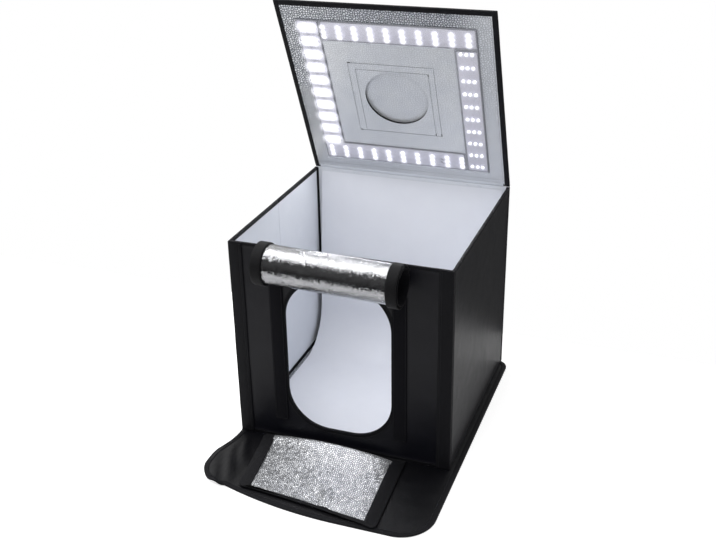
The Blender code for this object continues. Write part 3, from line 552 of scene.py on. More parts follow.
def strips(name, box, margins, low, high, seed, spacing=0.012):
    # Binding sewn round a panel: one rounded strip on each side that has a margin. The level ones run under
    # the upright ones by a tenth of their width.
    left, bottom, right, top = box
    start, end = left + margins[0] * 0.9, right - margins[2] * 0.9
    sides = []
    if margins[0]:
        sides.append(((left, bottom, low), (left + margins[0], top, high), 1))
    if margins[2]:
        sides.append(((right - margins[2], bottom, low), (right, top, high), 1))
    if margins[1]:
        sides.append(((start, bottom, low), (end, bottom + margins[1], high), 0))
    if margins[3]:
        sides.append(((start, top - margins[3], low), (end, top, high), 0))
    made = []
    for number, (corner, far, axis) in enumerate(sides):
        strip = addBlock(name + "Strip", corner, far)
        soften(strip, min(0.0011, (high - low) * 0.3), 2)
        crossCut(strip, axis, spacing)
        layCloth(strip)
        roughen(strip, 0.00012, 0.02, seed + number * 3)
        made.append(strip)
    return joined(name, made)


window = {"left": -0.100, "right": 0.093, "bottom": 0.041, "top": 0.331, "radius": 0.075, "lip": 0.008,
          "stitchLine": 0.0065}


def windowBlock(name, grow, low, high):
    block = addBlock(name, (window["left"] - grow, window["bottom"] - grow, low),
                     (window["right"] + grow, window["top"] + grow, high))
    return roundCorners(block, window["radius"] + grow, 20)


def panel(key, place, body, stands, box, margins, hole=False, seed=1, crease=None, topHem=False):
    # The bindings, outer skin, lining and stitching of one wall. A side half has its crease hem at one end,
    # of turned lining, and shares one outer skin with the other half.
    left, bottom, right, top = box
    thick, tuck, near = wall["thickness"], wall["tuck"], wall["stitchInset"]
    innerLeft, innerBottom = left + margins[0], bottom + margins[1]
    innerRight, innerTop = right - margins[2], top - margins[3]
    hemmed = (crease == "left", False, crease == "right", topHem)
    black = [0 if turned else margin for turned, margin in zip(hemmed, margins)]
    binding = strips(key + "Binding", box, black, -thick, 0.0, seed)
    dress(binding, hemCloth, place, body, stands[:1])
    if crease or topHem:
        hem = [margin if turned else 0 for turned, margin in zip(hemmed, margins)]
        hemBox = box if topHem else (left, innerBottom, right, innerTop)
        turnedHem = strips(key + "TurnedHem", hemBox, hem, -thick, -0.0012, seed + 2)
        dress(turnedHem, whiteLining, place, body)
    if not crease:
        skinTop = innerTop + (0.0022 if topHem else tuck)
        outer = clothFace(key + "Skin", innerLeft - tuck, innerBottom - tuck, innerRight + tuck, skinTop,
                          -0.0002, -1, wall["dip"], seed, hole and windowBlock("hole", 0.002, -0.05, 0.05))
        dress(outer, wallCloth, place, body)
    lining = clothFace(key + "Lining", innerLeft - tuck, innerBottom - tuck, innerRight + tuck,
                       innerTop + tuck, -thick + 0.0002, 1, wall["dip"], seed + 20,
                       hole and windowBlock("hole", 0.002, -0.05, 0.05))
    dress(lining, whiteLining, place, body, stands[1:])
    lowLeft, lowRight = (innerLeft - near, innerBottom - near), (innerRight + near, innerBottom - near)
    highLeft, highRight = (innerLeft - near, innerTop + near), (innerRight + near, innerTop + near)
    if crease == "left":
        line = [(left, lowLeft[1]), lowRight, highRight, (left, highRight[1])], False
    elif crease == "right":
        line = [(right, highRight[1]), highLeft, lowLeft, (right, lowLeft[1])], False
    else:
        line = [highLeft, lowLeft, lowRight, highRight], True
    sew(key + "Stitches", [line], blackThread, place, body, level=-0.0002 if crease else 0.0)


def makeWalls():
    bottom, top, reach = wall["bottom"], wall["top"], wall["sideHalf"]
    binding, hem = wall["binding"], wall["creaseHem"]
    full = (-wall["half"], bottom, wall["half"], top)
    panel("rearWall", places["rear"], "base", ["rear_wall_shell", "rear_wall_lining"], full,
          (binding, binding, binding, hem), seed=3, topHem=True)
    panel("frontWall", places["front"], "front_wall", ["front_wall_shell", "front_wall_lining"], full,
          (binding,) * 4, hole=True, seed=11)
    low = (-reach, bottom, -wall["creaseGap"], top)
    high = (wall["creaseGap"], bottom, reach, top)
    lowRim = (binding, binding, hem, binding)
    highRim = (hem, binding, binding, binding)
    # On the right wall x runs to the rear, on the left wall it runs to the front.
    halves = (("leftRear", "left", "left_rear", low, lowRim, "right"),
              ("leftFront", "left", "left_front", high, highRim, "left"),
              ("rightFront", "right", "right_front", low, lowRim, "right"),
              ("rightRear", "right", "right_rear", high, highRim, "left"))
    for number, (key, side, body, box, margins, crease) in enumerate(halves):
        panel(key, places[side], body, [body + "_wall_shell", body + "_wall_lining"], box, margins,
              seed=30 + number * 5, crease=crease)
    tucked = binding - wall["tuck"]
    for key, sign, seed in (("left", -1, 52), ("right", 1, 61)):
        skin = clothFace(key + "OuterSkin", -reach + tucked, bottom + tucked, reach - tucked, top - tucked,
                         -0.0002, -1, wall["dip"], seed)
        dress(skin, wallCloth, places[key])
        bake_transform(skin)
    print("walls made")


def makeWindow():
    # A turned lip round the window, through the whole wall.
    ring = windowBlock("windowBinding", window["lip"], -wall["thickness"] - 0.0001, 0.0002)
    cutOut(ring, windowBlock("hole", 0, -0.02, 0.02))
    soften(ring, 0.0012, 3, 60)
    rightWayOut(ring)
    layCloth(ring)
    roughen(ring, 0.0002, 0.03, 5)
    dress(ring, hemCloth, places["front"], "front_wall")
    out = window["stitchLine"]
    outline = roundLine(window["left"] - out, window["bottom"] - out, window["right"] + out,
                        window["top"] + out, window["radius"] + out, 14)
    sew("windowStitches", [outline], blackThread, places["front"], "front_wall", level=0.0003)


def flatStrip(name, left, bottom, right, top, low, high, seed, wobble=0.0003, spacing=0.012):
    # A sewn-on tape with rounded corners and edges, a little uneven along its length.
    strip = addBlock(name, (left, bottom, low), (right, top, high))
    roundCorners(strip, 0.0012, 2)
    soften(strip, (high - low) * 0.35, 2, 60)
    crossCut(strip, 1 if top - bottom > right - left else 0, spacing)
    layCloth(strip)
    return roughen(strip, wobble, 0.03, seed)


cornerHem = {"outer": 0.200, "inner": 0.175, "low": 0.0001, "high": 0.0014, "stitchRows": (0.1772, 0.1800)}
windowTape = {"left": (-0.128, -0.103), "right": (0.096, 0.121), "bottom": 0.045, "top": 0.327, "low": 0.0001,
              "high": 0.0018, "stitchInset": 0.002}


def makeFrontTrim():
    place, bottom, top = places["front"], wall["bottom"], wall["top"]
    for key, left, right, seed in (("left", -cornerHem["outer"], -cornerHem["inner"], 2),
                                   ("right", cornerHem["inner"], cornerHem["outer"], 4)):
        hem = flatStrip("cornerHem" + key.title(), left, bottom, right, top, cornerHem["low"],
                        cornerHem["high"], seed)
        dress(hem, hemCloth, place, "front_wall", ["corner_hem_" + key])
    low, high, inset = windowTape["bottom"], windowTape["top"], windowTape["stitchInset"]
    lines = []
    for key, seed in (("left", 6), ("right", 8)):
        left, right = windowTape[key]
        tape = flatStrip("windowTape" + key.title(), left, low, right, high, windowTape["low"],
                         windowTape["high"], seed)
        dress(tape, loopTape, place, "front_wall", ["window_tape_" + key])
        lines.append(boxLine(left + inset, low + inset, right - inset, high - inset))
    sew("tapeStitches", lines, blackThread, place, "front_wall", level=0.0019)
    rows = [([(x * side, bottom + 0.004), (x * side, top - 0.004)], False)
            for side in (-1, 1) for x in cornerHem["stitchRows"]]
    sew("hemStitches", rows, blackThread, place, "front_wall", level=0.0015)
    print("window and front trim made")


makeWalls()
makeWindow()
makeFrontTrim()


mat = {"halfWidth": 0.215, "front": -0.390, "rear": 0.200, "frontRadius": 0.060, "rearRadius": 0.027,
       "sheetTop": 0.0034, "sheetThickness": 0.0030, "binding": 0.010, "bindingTop": 0.0042,
       "looseFrom": -0.203, "looseLength": 0.187, "lift": 0.009, "fold": 0.0060, "foldPitch": 0.026,
       "stitchLine": (-0.206, -0.381, 0.206, 0.191), "stitchRadius": 0.045, "stitchedTo": 0.150,
       "floorFoil": 0.1935, "floorFoilTop": 0.0040}


def matLift(x, y):
    # The loose front left corner stands up a little, with soft folds that run out from the cover.
    side = clamp((-0.145 - x) / 0.06)
    along = clamp((mat["looseFrom"] - y) / 0.10)
    fold = 0.5 + 0.5 * math.sin((x * 0.93 + y * 0.37) * 2 * math.pi / mat["foldPitch"] + 0.4)
    return along * (mat["lift"] * side ** 1.3 + mat["fold"] * fold * min(1.0, side * 2.5) * (1.2 - side))


def layAskew(p):
    # The loose front of the mat lies a little askew: pulled back on the left, out on the right, and its left
    # side is drawn in beside the corner of the cube.
    out = clamp((mat["looseFrom"] - p.y) / mat["looseLength"])
    out = smooth(out, 0, 1) * 0.4 + out * 0.6
    back = -0.0055 + 0.0315 * clamp((0.06 - p.x) / 0.21) ** 2 - 0.010 * smooth(-p.x, 0.15, 0.20)
    beside = 0.015 * smooth(-p.y, 0.12, 0.205) - 0.011 * smooth(-p.y, 0.225, 0.31)
    return p + Vector((smooth(-p.x, 0.16, 0.21) * beside, back * out, matLift(p.x, p.y)))


def matBlock(grow, low, high):
    block = addBlock("matBinding", (-mat["halfWidth"] + grow, mat["front"] + grow, low),
                     (mat["halfWidth"] - grow, mat["rear"] - grow, high))
    roundCorners(block, mat["frontRadius"] - grow, 16, lambda p: p.y < 0)
    return roundCorners(block, mat["rearRadius"] - grow, 12, lambda p: p.y > mat["rear"] - grow - 1e-4)


def makeMat():
    # A sheet somewhat larger than the mat, cut to its outline.
    sheet = addSheet("matSheet", -0.22, -0.40, 0.22, 0.21, mat["sheetTop"], 0.007)
    thicken(sheet, mat["sheetThickness"])
    cutOut(sheet, matBlock(0.001, -0.05, 0.05), "INTERSECT")
    layCloth(sheet)
    shape(sheet, layAskew)
    dress(sheet, matCloth, None, "base", ["base_mat"])
    rim = matBlock(0, 0.0, mat["bindingTop"])
    cutOut(rim, matBlock(mat["binding"], -0.02, 0.02))
    soften(rim, 0.0016, 3, 60)
    # The long sides are divided, so that they follow the folds.
    edit(rim, bpy.ops.mesh.subdivide, lambda a, b: (a - b).length > 0.05, number_cuts=24)
    layCloth(rim)
    shape(rim, layAskew)
    dress(rim, hemCloth, None, "base")
    # The stitches run along the front and the sides, and stop short of the rear corners.
    left, right, end = mat["stitchLine"][0], mat["stitchLine"][2], mat["stitchedTo"]
    loop = roundLine(*mat["stitchLine"], mat["stitchRadius"], 12)[0]
    line = [(left, end)] + [point for point in loop if point[1] < end - 0.05] + [(right, end)]
    seam = sew("matStitches", [(line, False)], blackThread, None, None, level=0.0044)
    shape(seam, layAskew)
    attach(seam, "base")
    reach = mat["floorFoil"]
    foil = clothFace("floorFoil", -reach, -reach, reach, reach, mat["floorFoilTop"], -1, 0.0003, 80,
                     spacing=0.012)
    pressAll(foil, 1.0)
    dress(foil, liningFoil, None, "base", ["floor_lining"])
    print("mat made")


def pressAll(piece, value):
    # How deep the foil is embossed, the same all over the piece.
    layer = piece.data.attributes.new("press", "FLOAT", "POINT")
    layer.data.foreach_set("value", np.full(len(piece.data.vertices), value, dtype=np.float32))


sweep = {"width": 0.372, "thickness": 0.0008, "radius": 0.090, "lean": 5.1, "flatZ": 0.0047, "topZ": 0.380,
         "topY": 0.1945, "frontY": -0.1892, "wave": 0.0006}
sheetTab = {"x": 0.130, "half": 0.015, "bottom": 0.3644, "top": 0.3844, "low": -0.0049, "high": -0.0038}


def sweepPath():
    # The profile from the front edge on the floor, round the arc and up to the top: its lean, the arc's
    # centre and end as y and z, and the lengths of its three stretches.
    lean = math.radians(sweep["lean"])
    centreZ = sweep["flatZ"] + sweep["radius"]
    endZ = centreZ - sweep["radius"] * math.sin(lean)
    endY = sweep["topY"] - (sweep["topZ"] - endZ) * math.tan(lean)
    centreY = endY - sweep["radius"] * math.cos(lean)
    floorLength = centreY - sweep["frontY"]
    arcLength = sweep["radius"] * (math.pi / 2 - lean)
    riseLength = (sweep["topZ"] - endZ) / math.cos(lean)
    return lean, centreY, centreZ, endY, endZ, floorLength, arcLength, riseLength


def makeSweep():
    lean, centreY, centreZ, endY, endZ, floorLength, arcLength, riseLength = sweepPath()
    length = floorLength + arcLength + riseLength
    half = sweep["width"] / 2
    piece = addSheet("sweepSheet", -half, 0, half, length, 0, 0.007)
    layCloth(piece)

    def hang(p):
        if p.y <= floorLength:
            return Vector((p.x, sweep["frontY"] + p.y, sweep["flatZ"]))
        if p.y <= floorLength + arcLength:
            turn = (p.y - floorLength) / sweep["radius"]
            return Vector((p.x, centreY + sweep["radius"] * math.sin(turn),
                           centreZ - sweep["radius"] * math.cos(turn)))
        up = p.y - floorLength - arcLength
        wave = sweep["wave"] * math.sin(up / riseLength * math.pi) * ripple(p.x, up, 0.12, 90)
        return Vector((p.x, endY + up * math.sin(lean) - abs(wave), endZ + up * math.cos(lean)))
    shape(piece, hang)
    thicken(piece, sweep["thickness"], offset=0)
    dress(piece, sweepCloth, None, "base", ["background_sheet"])
    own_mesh(piece)
    for key, side in (("left", 1), ("right", -1)):
        middle = side * sheetTab["x"]
        tab = flatStrip("sheetTab" + key.title(), middle - sheetTab["half"], sheetTab["bottom"],
                        middle + sheetTab["half"], sheetTab["top"], sheetTab["low"], sheetTab["high"],
                        12 + side)
        dress(tab, whiteTape, places["rear"], "base", ["sheet_tab_" + key])
    print("sweep made, %.4f m long" % length)


makeMat()
makeSweep()


def addCord(name, left, right, radius, y, z):
    # A cloth-covered cord along X, with the small swellings of its sewing, one every 8.5 mm.
    deselect()
    bpy.ops.mesh.primitive_cylinder_add(vertices=20, radius=radius, depth=right - left,
                                        location=((left + right) / 2, y, z),
                                        rotation=(0, math.radians(90), 0))
    cord = named(name, (1, 1, 1))
    crossCut(cord, 0, 0.004)
    soften(cord, radius * 0.4, 2, 60)
    layCloth(cord)

    def swell(p):
        offset = Vector((0, p.y - y, p.z - z))
        return Vector((p.x, y, z)) + offset * (1 - 0.06 * abs(math.sin(p.x * math.pi / 0.0085)))
    return shape(cord, swell)


roll = {"centreY": -0.2376, "centreZ": 0.370, "radius": 0.035, "sheet": 0.0016, "turnGap": 0.0021,
        "length": 0.262, "silverLeft": -0.106, "silverRight": 0.106, "left": -0.126, "right": 0.127,
        "tuck": 0.003, "tilt": 0.024, "seamY": -0.2021, "seamZ": 0.380771, "seamRadius": 0.0018}
strap = {"width": 0.018, "length": 0.187, "radius": 0.0362, "thickness": 0.0016, "from": 26, "to": 322,
         "left": -0.116, "right": 0.1165}


def onRoll(x, radius, angle):
    # A point round the roll's axis, which drops a little to the right.
    return Vector((x, roll["centreY"] + radius * math.cos(angle),
                   roll["centreZ"] - roll["tilt"] * x + radius * math.sin(angle)))


def rollUp(piece, swell=0.0):
    # Winds a flat strip, whose y runs from the seam, over the top and inwards to the core.
    start = math.atan2(roll["seamZ"] - roll["centreZ"], roll["seamY"] - roll["centreY"])
    outer = roll["radius"] - roll["sheet"] / 2
    pitch = roll["sheet"] + roll["turnGap"]

    def wind(p):
        # The angle for a length on a spiral: solved from the mean radius so far.
        turn = 0.0
        for attempt in range(6):
            turn = p.y / (outer - pitch * turn / (4 * math.pi))
        dent = 0.00005 * ripple(p.x, p.y, 0.016, 14) + 0.0002 * ripple(p.x, p.y, 0.060, 19)
        radius = outer - pitch * turn / (2 * math.pi) + (p.z + swell - abs(dent))
        return onRoll(p.x, radius, start + turn)
    return shape(piece, wind)


def makeRoll():
    tuck, length = roll["tuck"], roll["length"]
    silver = addSheet("rolledFoil", roll["silverLeft"] - tuck, 0, roll["silverRight"] + tuck, length, 0,
                      0.0035)
    layCloth(silver)
    thicken(silver, roll["sheet"] - 0.0003, offset=0)
    pressAll(silver, 1.0)
    rollUp(silver)
    dress(silver, coverFoil, None, "upper_cover", ["upper_cover"])
    for key, left, right in (("left", roll["left"], roll["silverLeft"]),
                             ("right", roll["silverRight"], roll["right"])):
        border = addSheet("rollBorder" + key.title(), left, 0, right, length, 0, 0.0045)
        layCloth(border)
        thicken(border, roll["sheet"] + 0.0001, offset=0)
        rollUp(border, 0.0001)
        dress(border, hemCloth, None, "upper_cover", ["upper_cover_border_" + key])

    def wrap(p):
        angle = math.radians(strap["from"] + (strap["to"] - strap["from"]) * p.y / strap["length"])
        return onRoll(p.x, strap["radius"] + p.z, angle)
    half = strap["width"] / 2
    for key in ("left", "right"):
        band = addSheet("rollStrap" + key.title(), strap[key] - half, 0, strap[key] + half, strap["length"],
                        0, 0.004)
        layCloth(band)
        thicken(band, strap["thickness"], offset=0)
        soften(band, 0.0004, 2, 60)
        shape(band, wrap)
        dress(band, webbing, None, "upper_cover", ["roll_strap_" + key])
    seam = addCord("upperSeam", roll["left"], roll["right"], roll["seamRadius"], roll["seamY"], roll["seamZ"])
    dress(seam, pipingCloth, None, "front_wall", ["upper_cover_seam"])
    print("roll made")


lowerCover = {"x": -0.014, "silver": 0.222, "border": 0.024, "length": 0.166, "frontBorder": 0.008,
              "rearBorder": 0.010, "rearY": -0.2054, "bulge": 0.019, "crest": 0.09, "fall": 0.038,
              "pucker": 0.0060, "slant": 0.011, "foilTop": 0.0063, "low": 0.0045, "high": 0.0073,
              "tuck": 0.002, "stitchOut": 0.003, "flat": (0.226, 0.158)}
lowerSeam = {"left": -0.149, "right": 0.121, "radius": 0.0015, "y": -0.2036, "z": 0.0058}


def shareOut(y):
    # 0 at the cover's seam and 1 at its front end.
    return clamp((lowerCover["rearY"] - y) / lowerCover["length"])


def coverRise(x, y):
    # The cover springs up where it leaves its seam, most left of the middle, and slopes down to a flat
    # front edge, where a pucker pinches it.
    across = max(0.0, 1 - ((x + 0.026) / 0.130) ** 2) ** 0.6
    out, crest = shareOut(y), lowerCover["crest"]
    if out < crest:
        arch = math.sin(out / crest * math.pi / 2)
    else:
        arch = (math.exp(-(out - crest) * lowerCover["length"] / lowerCover["fall"])
                * min(1.0, (1 - out) * 4))
    pucker = math.exp(-((x - 0.014 + 0.20 * (y + 0.33)) / 0.010) ** 2) * math.exp(-((y + 0.345) / 0.022) ** 2)
    swells = 0.0020 * ripple(x, y, 0.055, 33) + 0.0005 * ripple(x, y, 0.018, 37)
    return max(0.0, lowerCover["bulge"] * across * arch + lowerCover["pucker"] * pucker
               + swells * min(1.0, out * 8))


def lieAskew(p):
    # The cover's front end lies a little to the right, and its right side reaches further out.
    out = shareOut(p.y)
    side = p.x - lowerCover["x"]
    return p + Vector(((0.013 - 0.03 * side) * out, (-0.13 * side - 0.45 * side * side) * out,
                       coverRise(p.x, p.y)))


def slant(p):
    # The rear border is wider at its right end.
    share = clamp((p.x - lowerCover["x"]) / lowerCover["silver"] + 0.5)
    return p - Vector((0, lowerCover["slant"] * share ** 1.5 if p.y > -0.26 else 0, 0))


def makeLowerCover():
    c = lowerCover
    left, right = c["x"] - c["silver"] / 2, c["x"] + c["silver"] / 2
    front = c["rearY"] - c["length"] + 0.0018
    silverFront, silverRear = front + c["frontBorder"], c["rearY"] - c["rearBorder"]
    tuck, out = c["tuck"], c["stitchOut"]
    silver = addSheet("lowerFoil", left - tuck, silverFront - tuck, right + tuck, silverRear + tuck,
                      c["foilTop"], 0.004)
    layCloth(silver)
    thicken(silver, 0.0016)
    pressAll(silver, 1.0)
    shape(silver, lieAskew)
    dress(silver, flapFoil, None, "lower_cover", ["lower_cover"])
    outer = addBlock("lowerBorder", (left - c["border"], front, c["low"]),
                     (right + c["border"], c["rearY"], c["high"]))
    roundCorners(outer, 0.012, 8, lambda p: p.y < -0.3)
    hole = addBlock("hole", (left, silverFront, -0.02), (right, silverRear, 0.03))
    shape(hole, slant)
    cutOut(outer, hole)
    soften(outer, 0.0009, 2, 60)
    # Divided into triangles first, or the cuts would close the hole.
    modify(outer, "TRIANGULATE")
    crossCut(outer, 0, 0.006)
    crossCut(outer, 1, 0.004)
    layCloth(outer)
    shape(outer, lieAskew)
    dress(outer, hemCloth, None, "lower_cover", ["lower_cover_border"])
    line = boxLine(left - out, silverFront - out, right + out, silverRear + out)
    seam = sew("lowerCoverStitches", [line], blackThread, None, None, level=0.0074)
    shape(seam, slant)
    shape(seam, lieAskew)
    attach(seam, "lower_cover")
    # Closed over the window, the loose foil lies flat against the wall; here each of the three pieces only
    # gets a mesh of its own.
    for piece in (silver, outer, seam):
        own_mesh(piece)
    cord = addCord("lowerSeam", lowerSeam["left"], lowerSeam["right"], lowerSeam["radius"], lowerSeam["y"],
                   lowerSeam["z"])
    dress(cord, pipingCloth, None, "front_wall", ["lower_cover_seam"])
    print("lower cover made")


makeRoll()
makeLowerCover()


lid = {"length": 0.397, "start": 0.0027, "binding": 0.010, "half": 0.200, "outer": 0.0024, "tuck": 0.001,
       "turnedHem": 0.003, "foilStitches": 0.012, "skinStitches": 0.0085, "flatField": 0.123,
       "flatPress": 0.22, "stitchSink": 0.0001}
port = {"radius": 0.060, "distance": 0.194, "seam": -0.112, "left": -0.083, "right": 0.078, "far": -0.271,
        "innerLeft": -0.070, "innerRight": 0.067, "innerFar": -0.257, "tack": 0.005}
hingeTape = {"half": 0.188, "width": 0.012, "thickness": 0.0004, "bulge": 0.0010}


def portCylinder(name, radius, low, high):
    deselect()
    bpy.ops.mesh.primitive_cylinder_add(vertices=72, radius=radius, depth=high - low,
                                        location=(0, -port["distance"], (low + high) / 2))
    return named(name, (1, 1, 1))


def insetLine(box, inset):
    return boxLine(box[0] + inset, box[1] + inset, box[2] - inset, box[3] - inset)


def makeLid():
    box = (-lid["half"], -lid["length"], lid["half"], -lid["start"])
    outer, rim = lid["outer"], lid["binding"]
    binding = strips("lidBinding", box, (rim, rim, rim, 0), -outer, outer, 70)
    dress(binding, hemCloth, lidPlace, "lid", ["lid_shell"])
    reach = rim - lid["tuck"]
    inner = (box[0] + reach, box[1] + reach, box[2] - reach, box[3] - 0.0006)
    hem = strips("lidTurnedHem", (box[0] + rim, box[1], box[2] - rim, box[3]), (0, 0, 0, lid["turnedHem"]),
                 -outer + 0.0006, outer - 0.0006, 79)
    dress(hem, hemCloth, lidPlace, "lid")
    skin = clothFace("lidSkin", *inner, outer - 0.0002, -1, wall["dip"], 72,
                     portCylinder("hole", port["radius"] + 0.0005, -0.1, 0.1))
    dress(skin, wallCloth, lidPlace, "lid")
    foil = clothFace("lidFoil", *inner, -outer + 0.0001, 1, 0.0005, 75,
                     portCylinder("hole", port["radius"], -0.1, 0.1), 0.005)
    # Inside the bars the foil is pressed nearly flat, and it is worn along its right side and its hinge.
    layer = foil.data.attributes.new("press", "FLOAT", "POINT")
    for vertex, value in zip(foil.data.vertices, layer.data):
        fromMiddle = max(abs(vertex.co.x - bars["x"]), abs(vertex.co.y + bars["distance"]))
        worn = max(smooth(vertex.co.x, 0.11, 0.18), smooth(vertex.co.y, -0.14, -0.03))
        value.value = lid["flatPress"] if fromMiddle < lid["flatField"] else 1.0 - 0.55 * worn
    dress(foil, liningFoil, lidPlace, "lid", ["lid_lining"])
    ring = portCylinder("portBinding", port["radius"] + 0.0015, -outer + 0.0007, outer + 0.0001)
    cutOut(ring, portCylinder("hole", port["radius"], -0.02, 0.02))
    soften(ring, 0.0006, 2, 60)
    rightWayOut(ring)
    layCloth(ring)
    dress(ring, hemCloth, lidPlace, "lid")
    makeLidStitches(box)
    makeHingeTape()
    piping = addCord("lidPiping", -lid["half"], lid["half"], lid["outer"], hinge["y"], hinge["z"])
    dress(piping, pipingCloth, None, "base", ["lid_hinge_piping"])
    print("lid made")


def makeLidStitches(box):
    outer = lid["outer"]
    level = -outer - lid["stitchSink"]
    # Two squares of stitches that share a side hold the port's cover, with tacks where rows start or end.
    squares = [boxLine(port["left"], port["far"], port["right"], port["seam"]),
               boxLine(port["innerLeft"], port["innerFar"], port["innerRight"], port["seam"])]
    sew("portStitches", squares, greyThread, lidPlace, "lid", level=level, pitch=0.0038,
        width=0.0009)
    sew("lidFoilStitches", [insetLine(box, lid["foilStitches"])], greyThread, lidPlace, "lid",
        level=level)
    sew("lidSkinStitches", [insetLine(box, lid["skinStitches"])], blackThread, lidPlace, "lid",
        level=outer)
    ends = ((port["left"], port["seam"], 1, 0), (port["innerRight"], port["seam"], 0, -1),
            (port["right"], port["seam"], 0, -1), (port["left"], port["far"], 1, 0),
            (port["innerRight"], port["innerFar"], 0, 1))
    tacks = [([(x, y), (x + port["tack"] * dx, y + port["tack"] * dy)], False) for x, y, dx, dy in ends]
    sew("portTacks", tacks, blackThread, lidPlace, "lid", stitch=0.0014, pitch=0.0009,
        width=0.0016, level=-outer - 0.0002)


def makeHingeTape():
    # From the rear lining, over the inside of the hinge cord, onto the foil of the top.
    turn = math.radians(hinge["openDegrees"])
    up, inward = Vector((-math.cos(turn), math.sin(turn))), Vector((-math.sin(turn), -math.cos(turn)))
    low = Vector((0.1958, 0.3881))
    high = Vector((hinge["y"] - 0.0002, hinge["z"])) + 0.0062 * up + lid["outer"] * inward
    bridge = addSheet("hingeTape", -hingeTape["half"], 0, hingeTape["half"], hingeTape["width"], 0, 0.002)
    layCloth(bridge)
    thicken(bridge, hingeTape["thickness"], offset=0)

    def cross(p):
        share = p.y / hingeTape["width"]
        bulge = hingeTape["bulge"] * math.sin(share * math.pi)
        at = low.lerp(high, share) + Vector((-bulge, 0.3 * bulge))
        return Vector((p.x, at.x + p.z, at.y))
    shape(bridge, cross)
    dress(bridge, whiteLining)
    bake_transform(bridge)


bars = {"size": 0.328, "x": -0.001, "distance": 0.196, "width": 0.042, "endGap": 0.002, "height": 0.0045,
        "wall": 0.001, "room": 0.002, "plate": 0.0016, "pitch": 0.0293, "rowPitch": 0.010, "shift": -0.004,
        "groups": 10, "rows": 3, "foamShadeEdge": 0.0008,
        "glow": {"far": 0.0095, "right": 0.0064, "near": 0.0090, "left": 0.0190}}
emitter = {"size": 0.005, "case": 0.0007, "rim": 0.0006, "gelRadius": 0.0019, "gel": 0.0002, "pad": 0.0014,
           "padWidth": 0.0008, "padOffset": 0.0031}


def glowSpot(radius, level):
    # A round patch on the cover, with its own UV that runs from -1 to 1 across it.
    deselect()
    bpy.ops.mesh.primitive_circle_add(vertices=20, radius=radius, fill_type="TRIFAN", location=(0, 0, level))
    disc = named("glowSpot", (1, 1, 1))
    for layer in list(disc.data.uv_layers):
        disc.data.uv_layers.remove(layer)
    layer = disc.data.uv_layers.new(name="Spot")
    for loop in disc.data.loops:
        at = disc.data.vertices[loop.vertex_index].co
        layer.data[loop.index].uv = (at.x / radius, at.y / radius)
    return disc


def makeSolderEnd(place):
    # Two soldered wire ends and a mounting screw show through the near cover, beside its last emitters.
    first, second, screw = (-0.094, 0.004), (-0.094, -0.003), (-0.101, 0.010)
    marks = []
    for (x, y), radius in ((first, 0.0016), (second, 0.0016), (screw, 0.0018)):
        deselect()
        bpy.ops.mesh.primitive_uv_sphere_add(segments=14, ring_count=8, radius=radius,
                                             location=(x, y, bars["plate"]))
        blob = named("solderBlob", (1, 1, 1))
        marks.append(shape(blob, lambda p: Vector((p.x, p.y, bars["plate"] + (p.z - bars["plate"]) * 0.5))))
    dress(joined("solderBlobs", marks), solder, place, "lid")
    sew("coverWire", [([first, (-0.0975, 0.0065), screw], False),
                      ([second, (-0.099, -0.001), (-0.106, -0.002)], False)],
        blackThread, place, "lid", stitch=0.0016, pitch=0.0012, width=0.0010,
        level=bars["plate"] + 0.0010)


def makeEmitter(side):
    # One emitter's case, gel, pads and glow, in the middle of its bar.
    half, plate, top = emitter["size"] / 2, bars["plate"], bars["plate"] + emitter["case"]
    case = addBlock("ledCase", (-half, -half, plate), (half, half, top))
    edit(case, bpy.ops.mesh.inset, faces=lambda middle, normal: normal.z > 0.9, thickness=emitter["rim"])
    deselect()
    bpy.ops.mesh.primitive_cylinder_add(vertices=16, radius=emitter["gelRadius"], depth=emitter["gel"],
                                        location=(0, 0, top + emitter["gel"] / 2))
    gel = named("ledGel", (1, 1, 1))
    spot = glowSpot(bars["glow"][side], bars["height"] + 0.0002)
    pad = addBlock("solderPad", (-emitter["pad"] / 2, -emitter["padWidth"] / 2, plate),
                   (emitter["pad"] / 2, emitter["padWidth"] / 2, plate + 0.0001))
    return case, gel, spot, pad


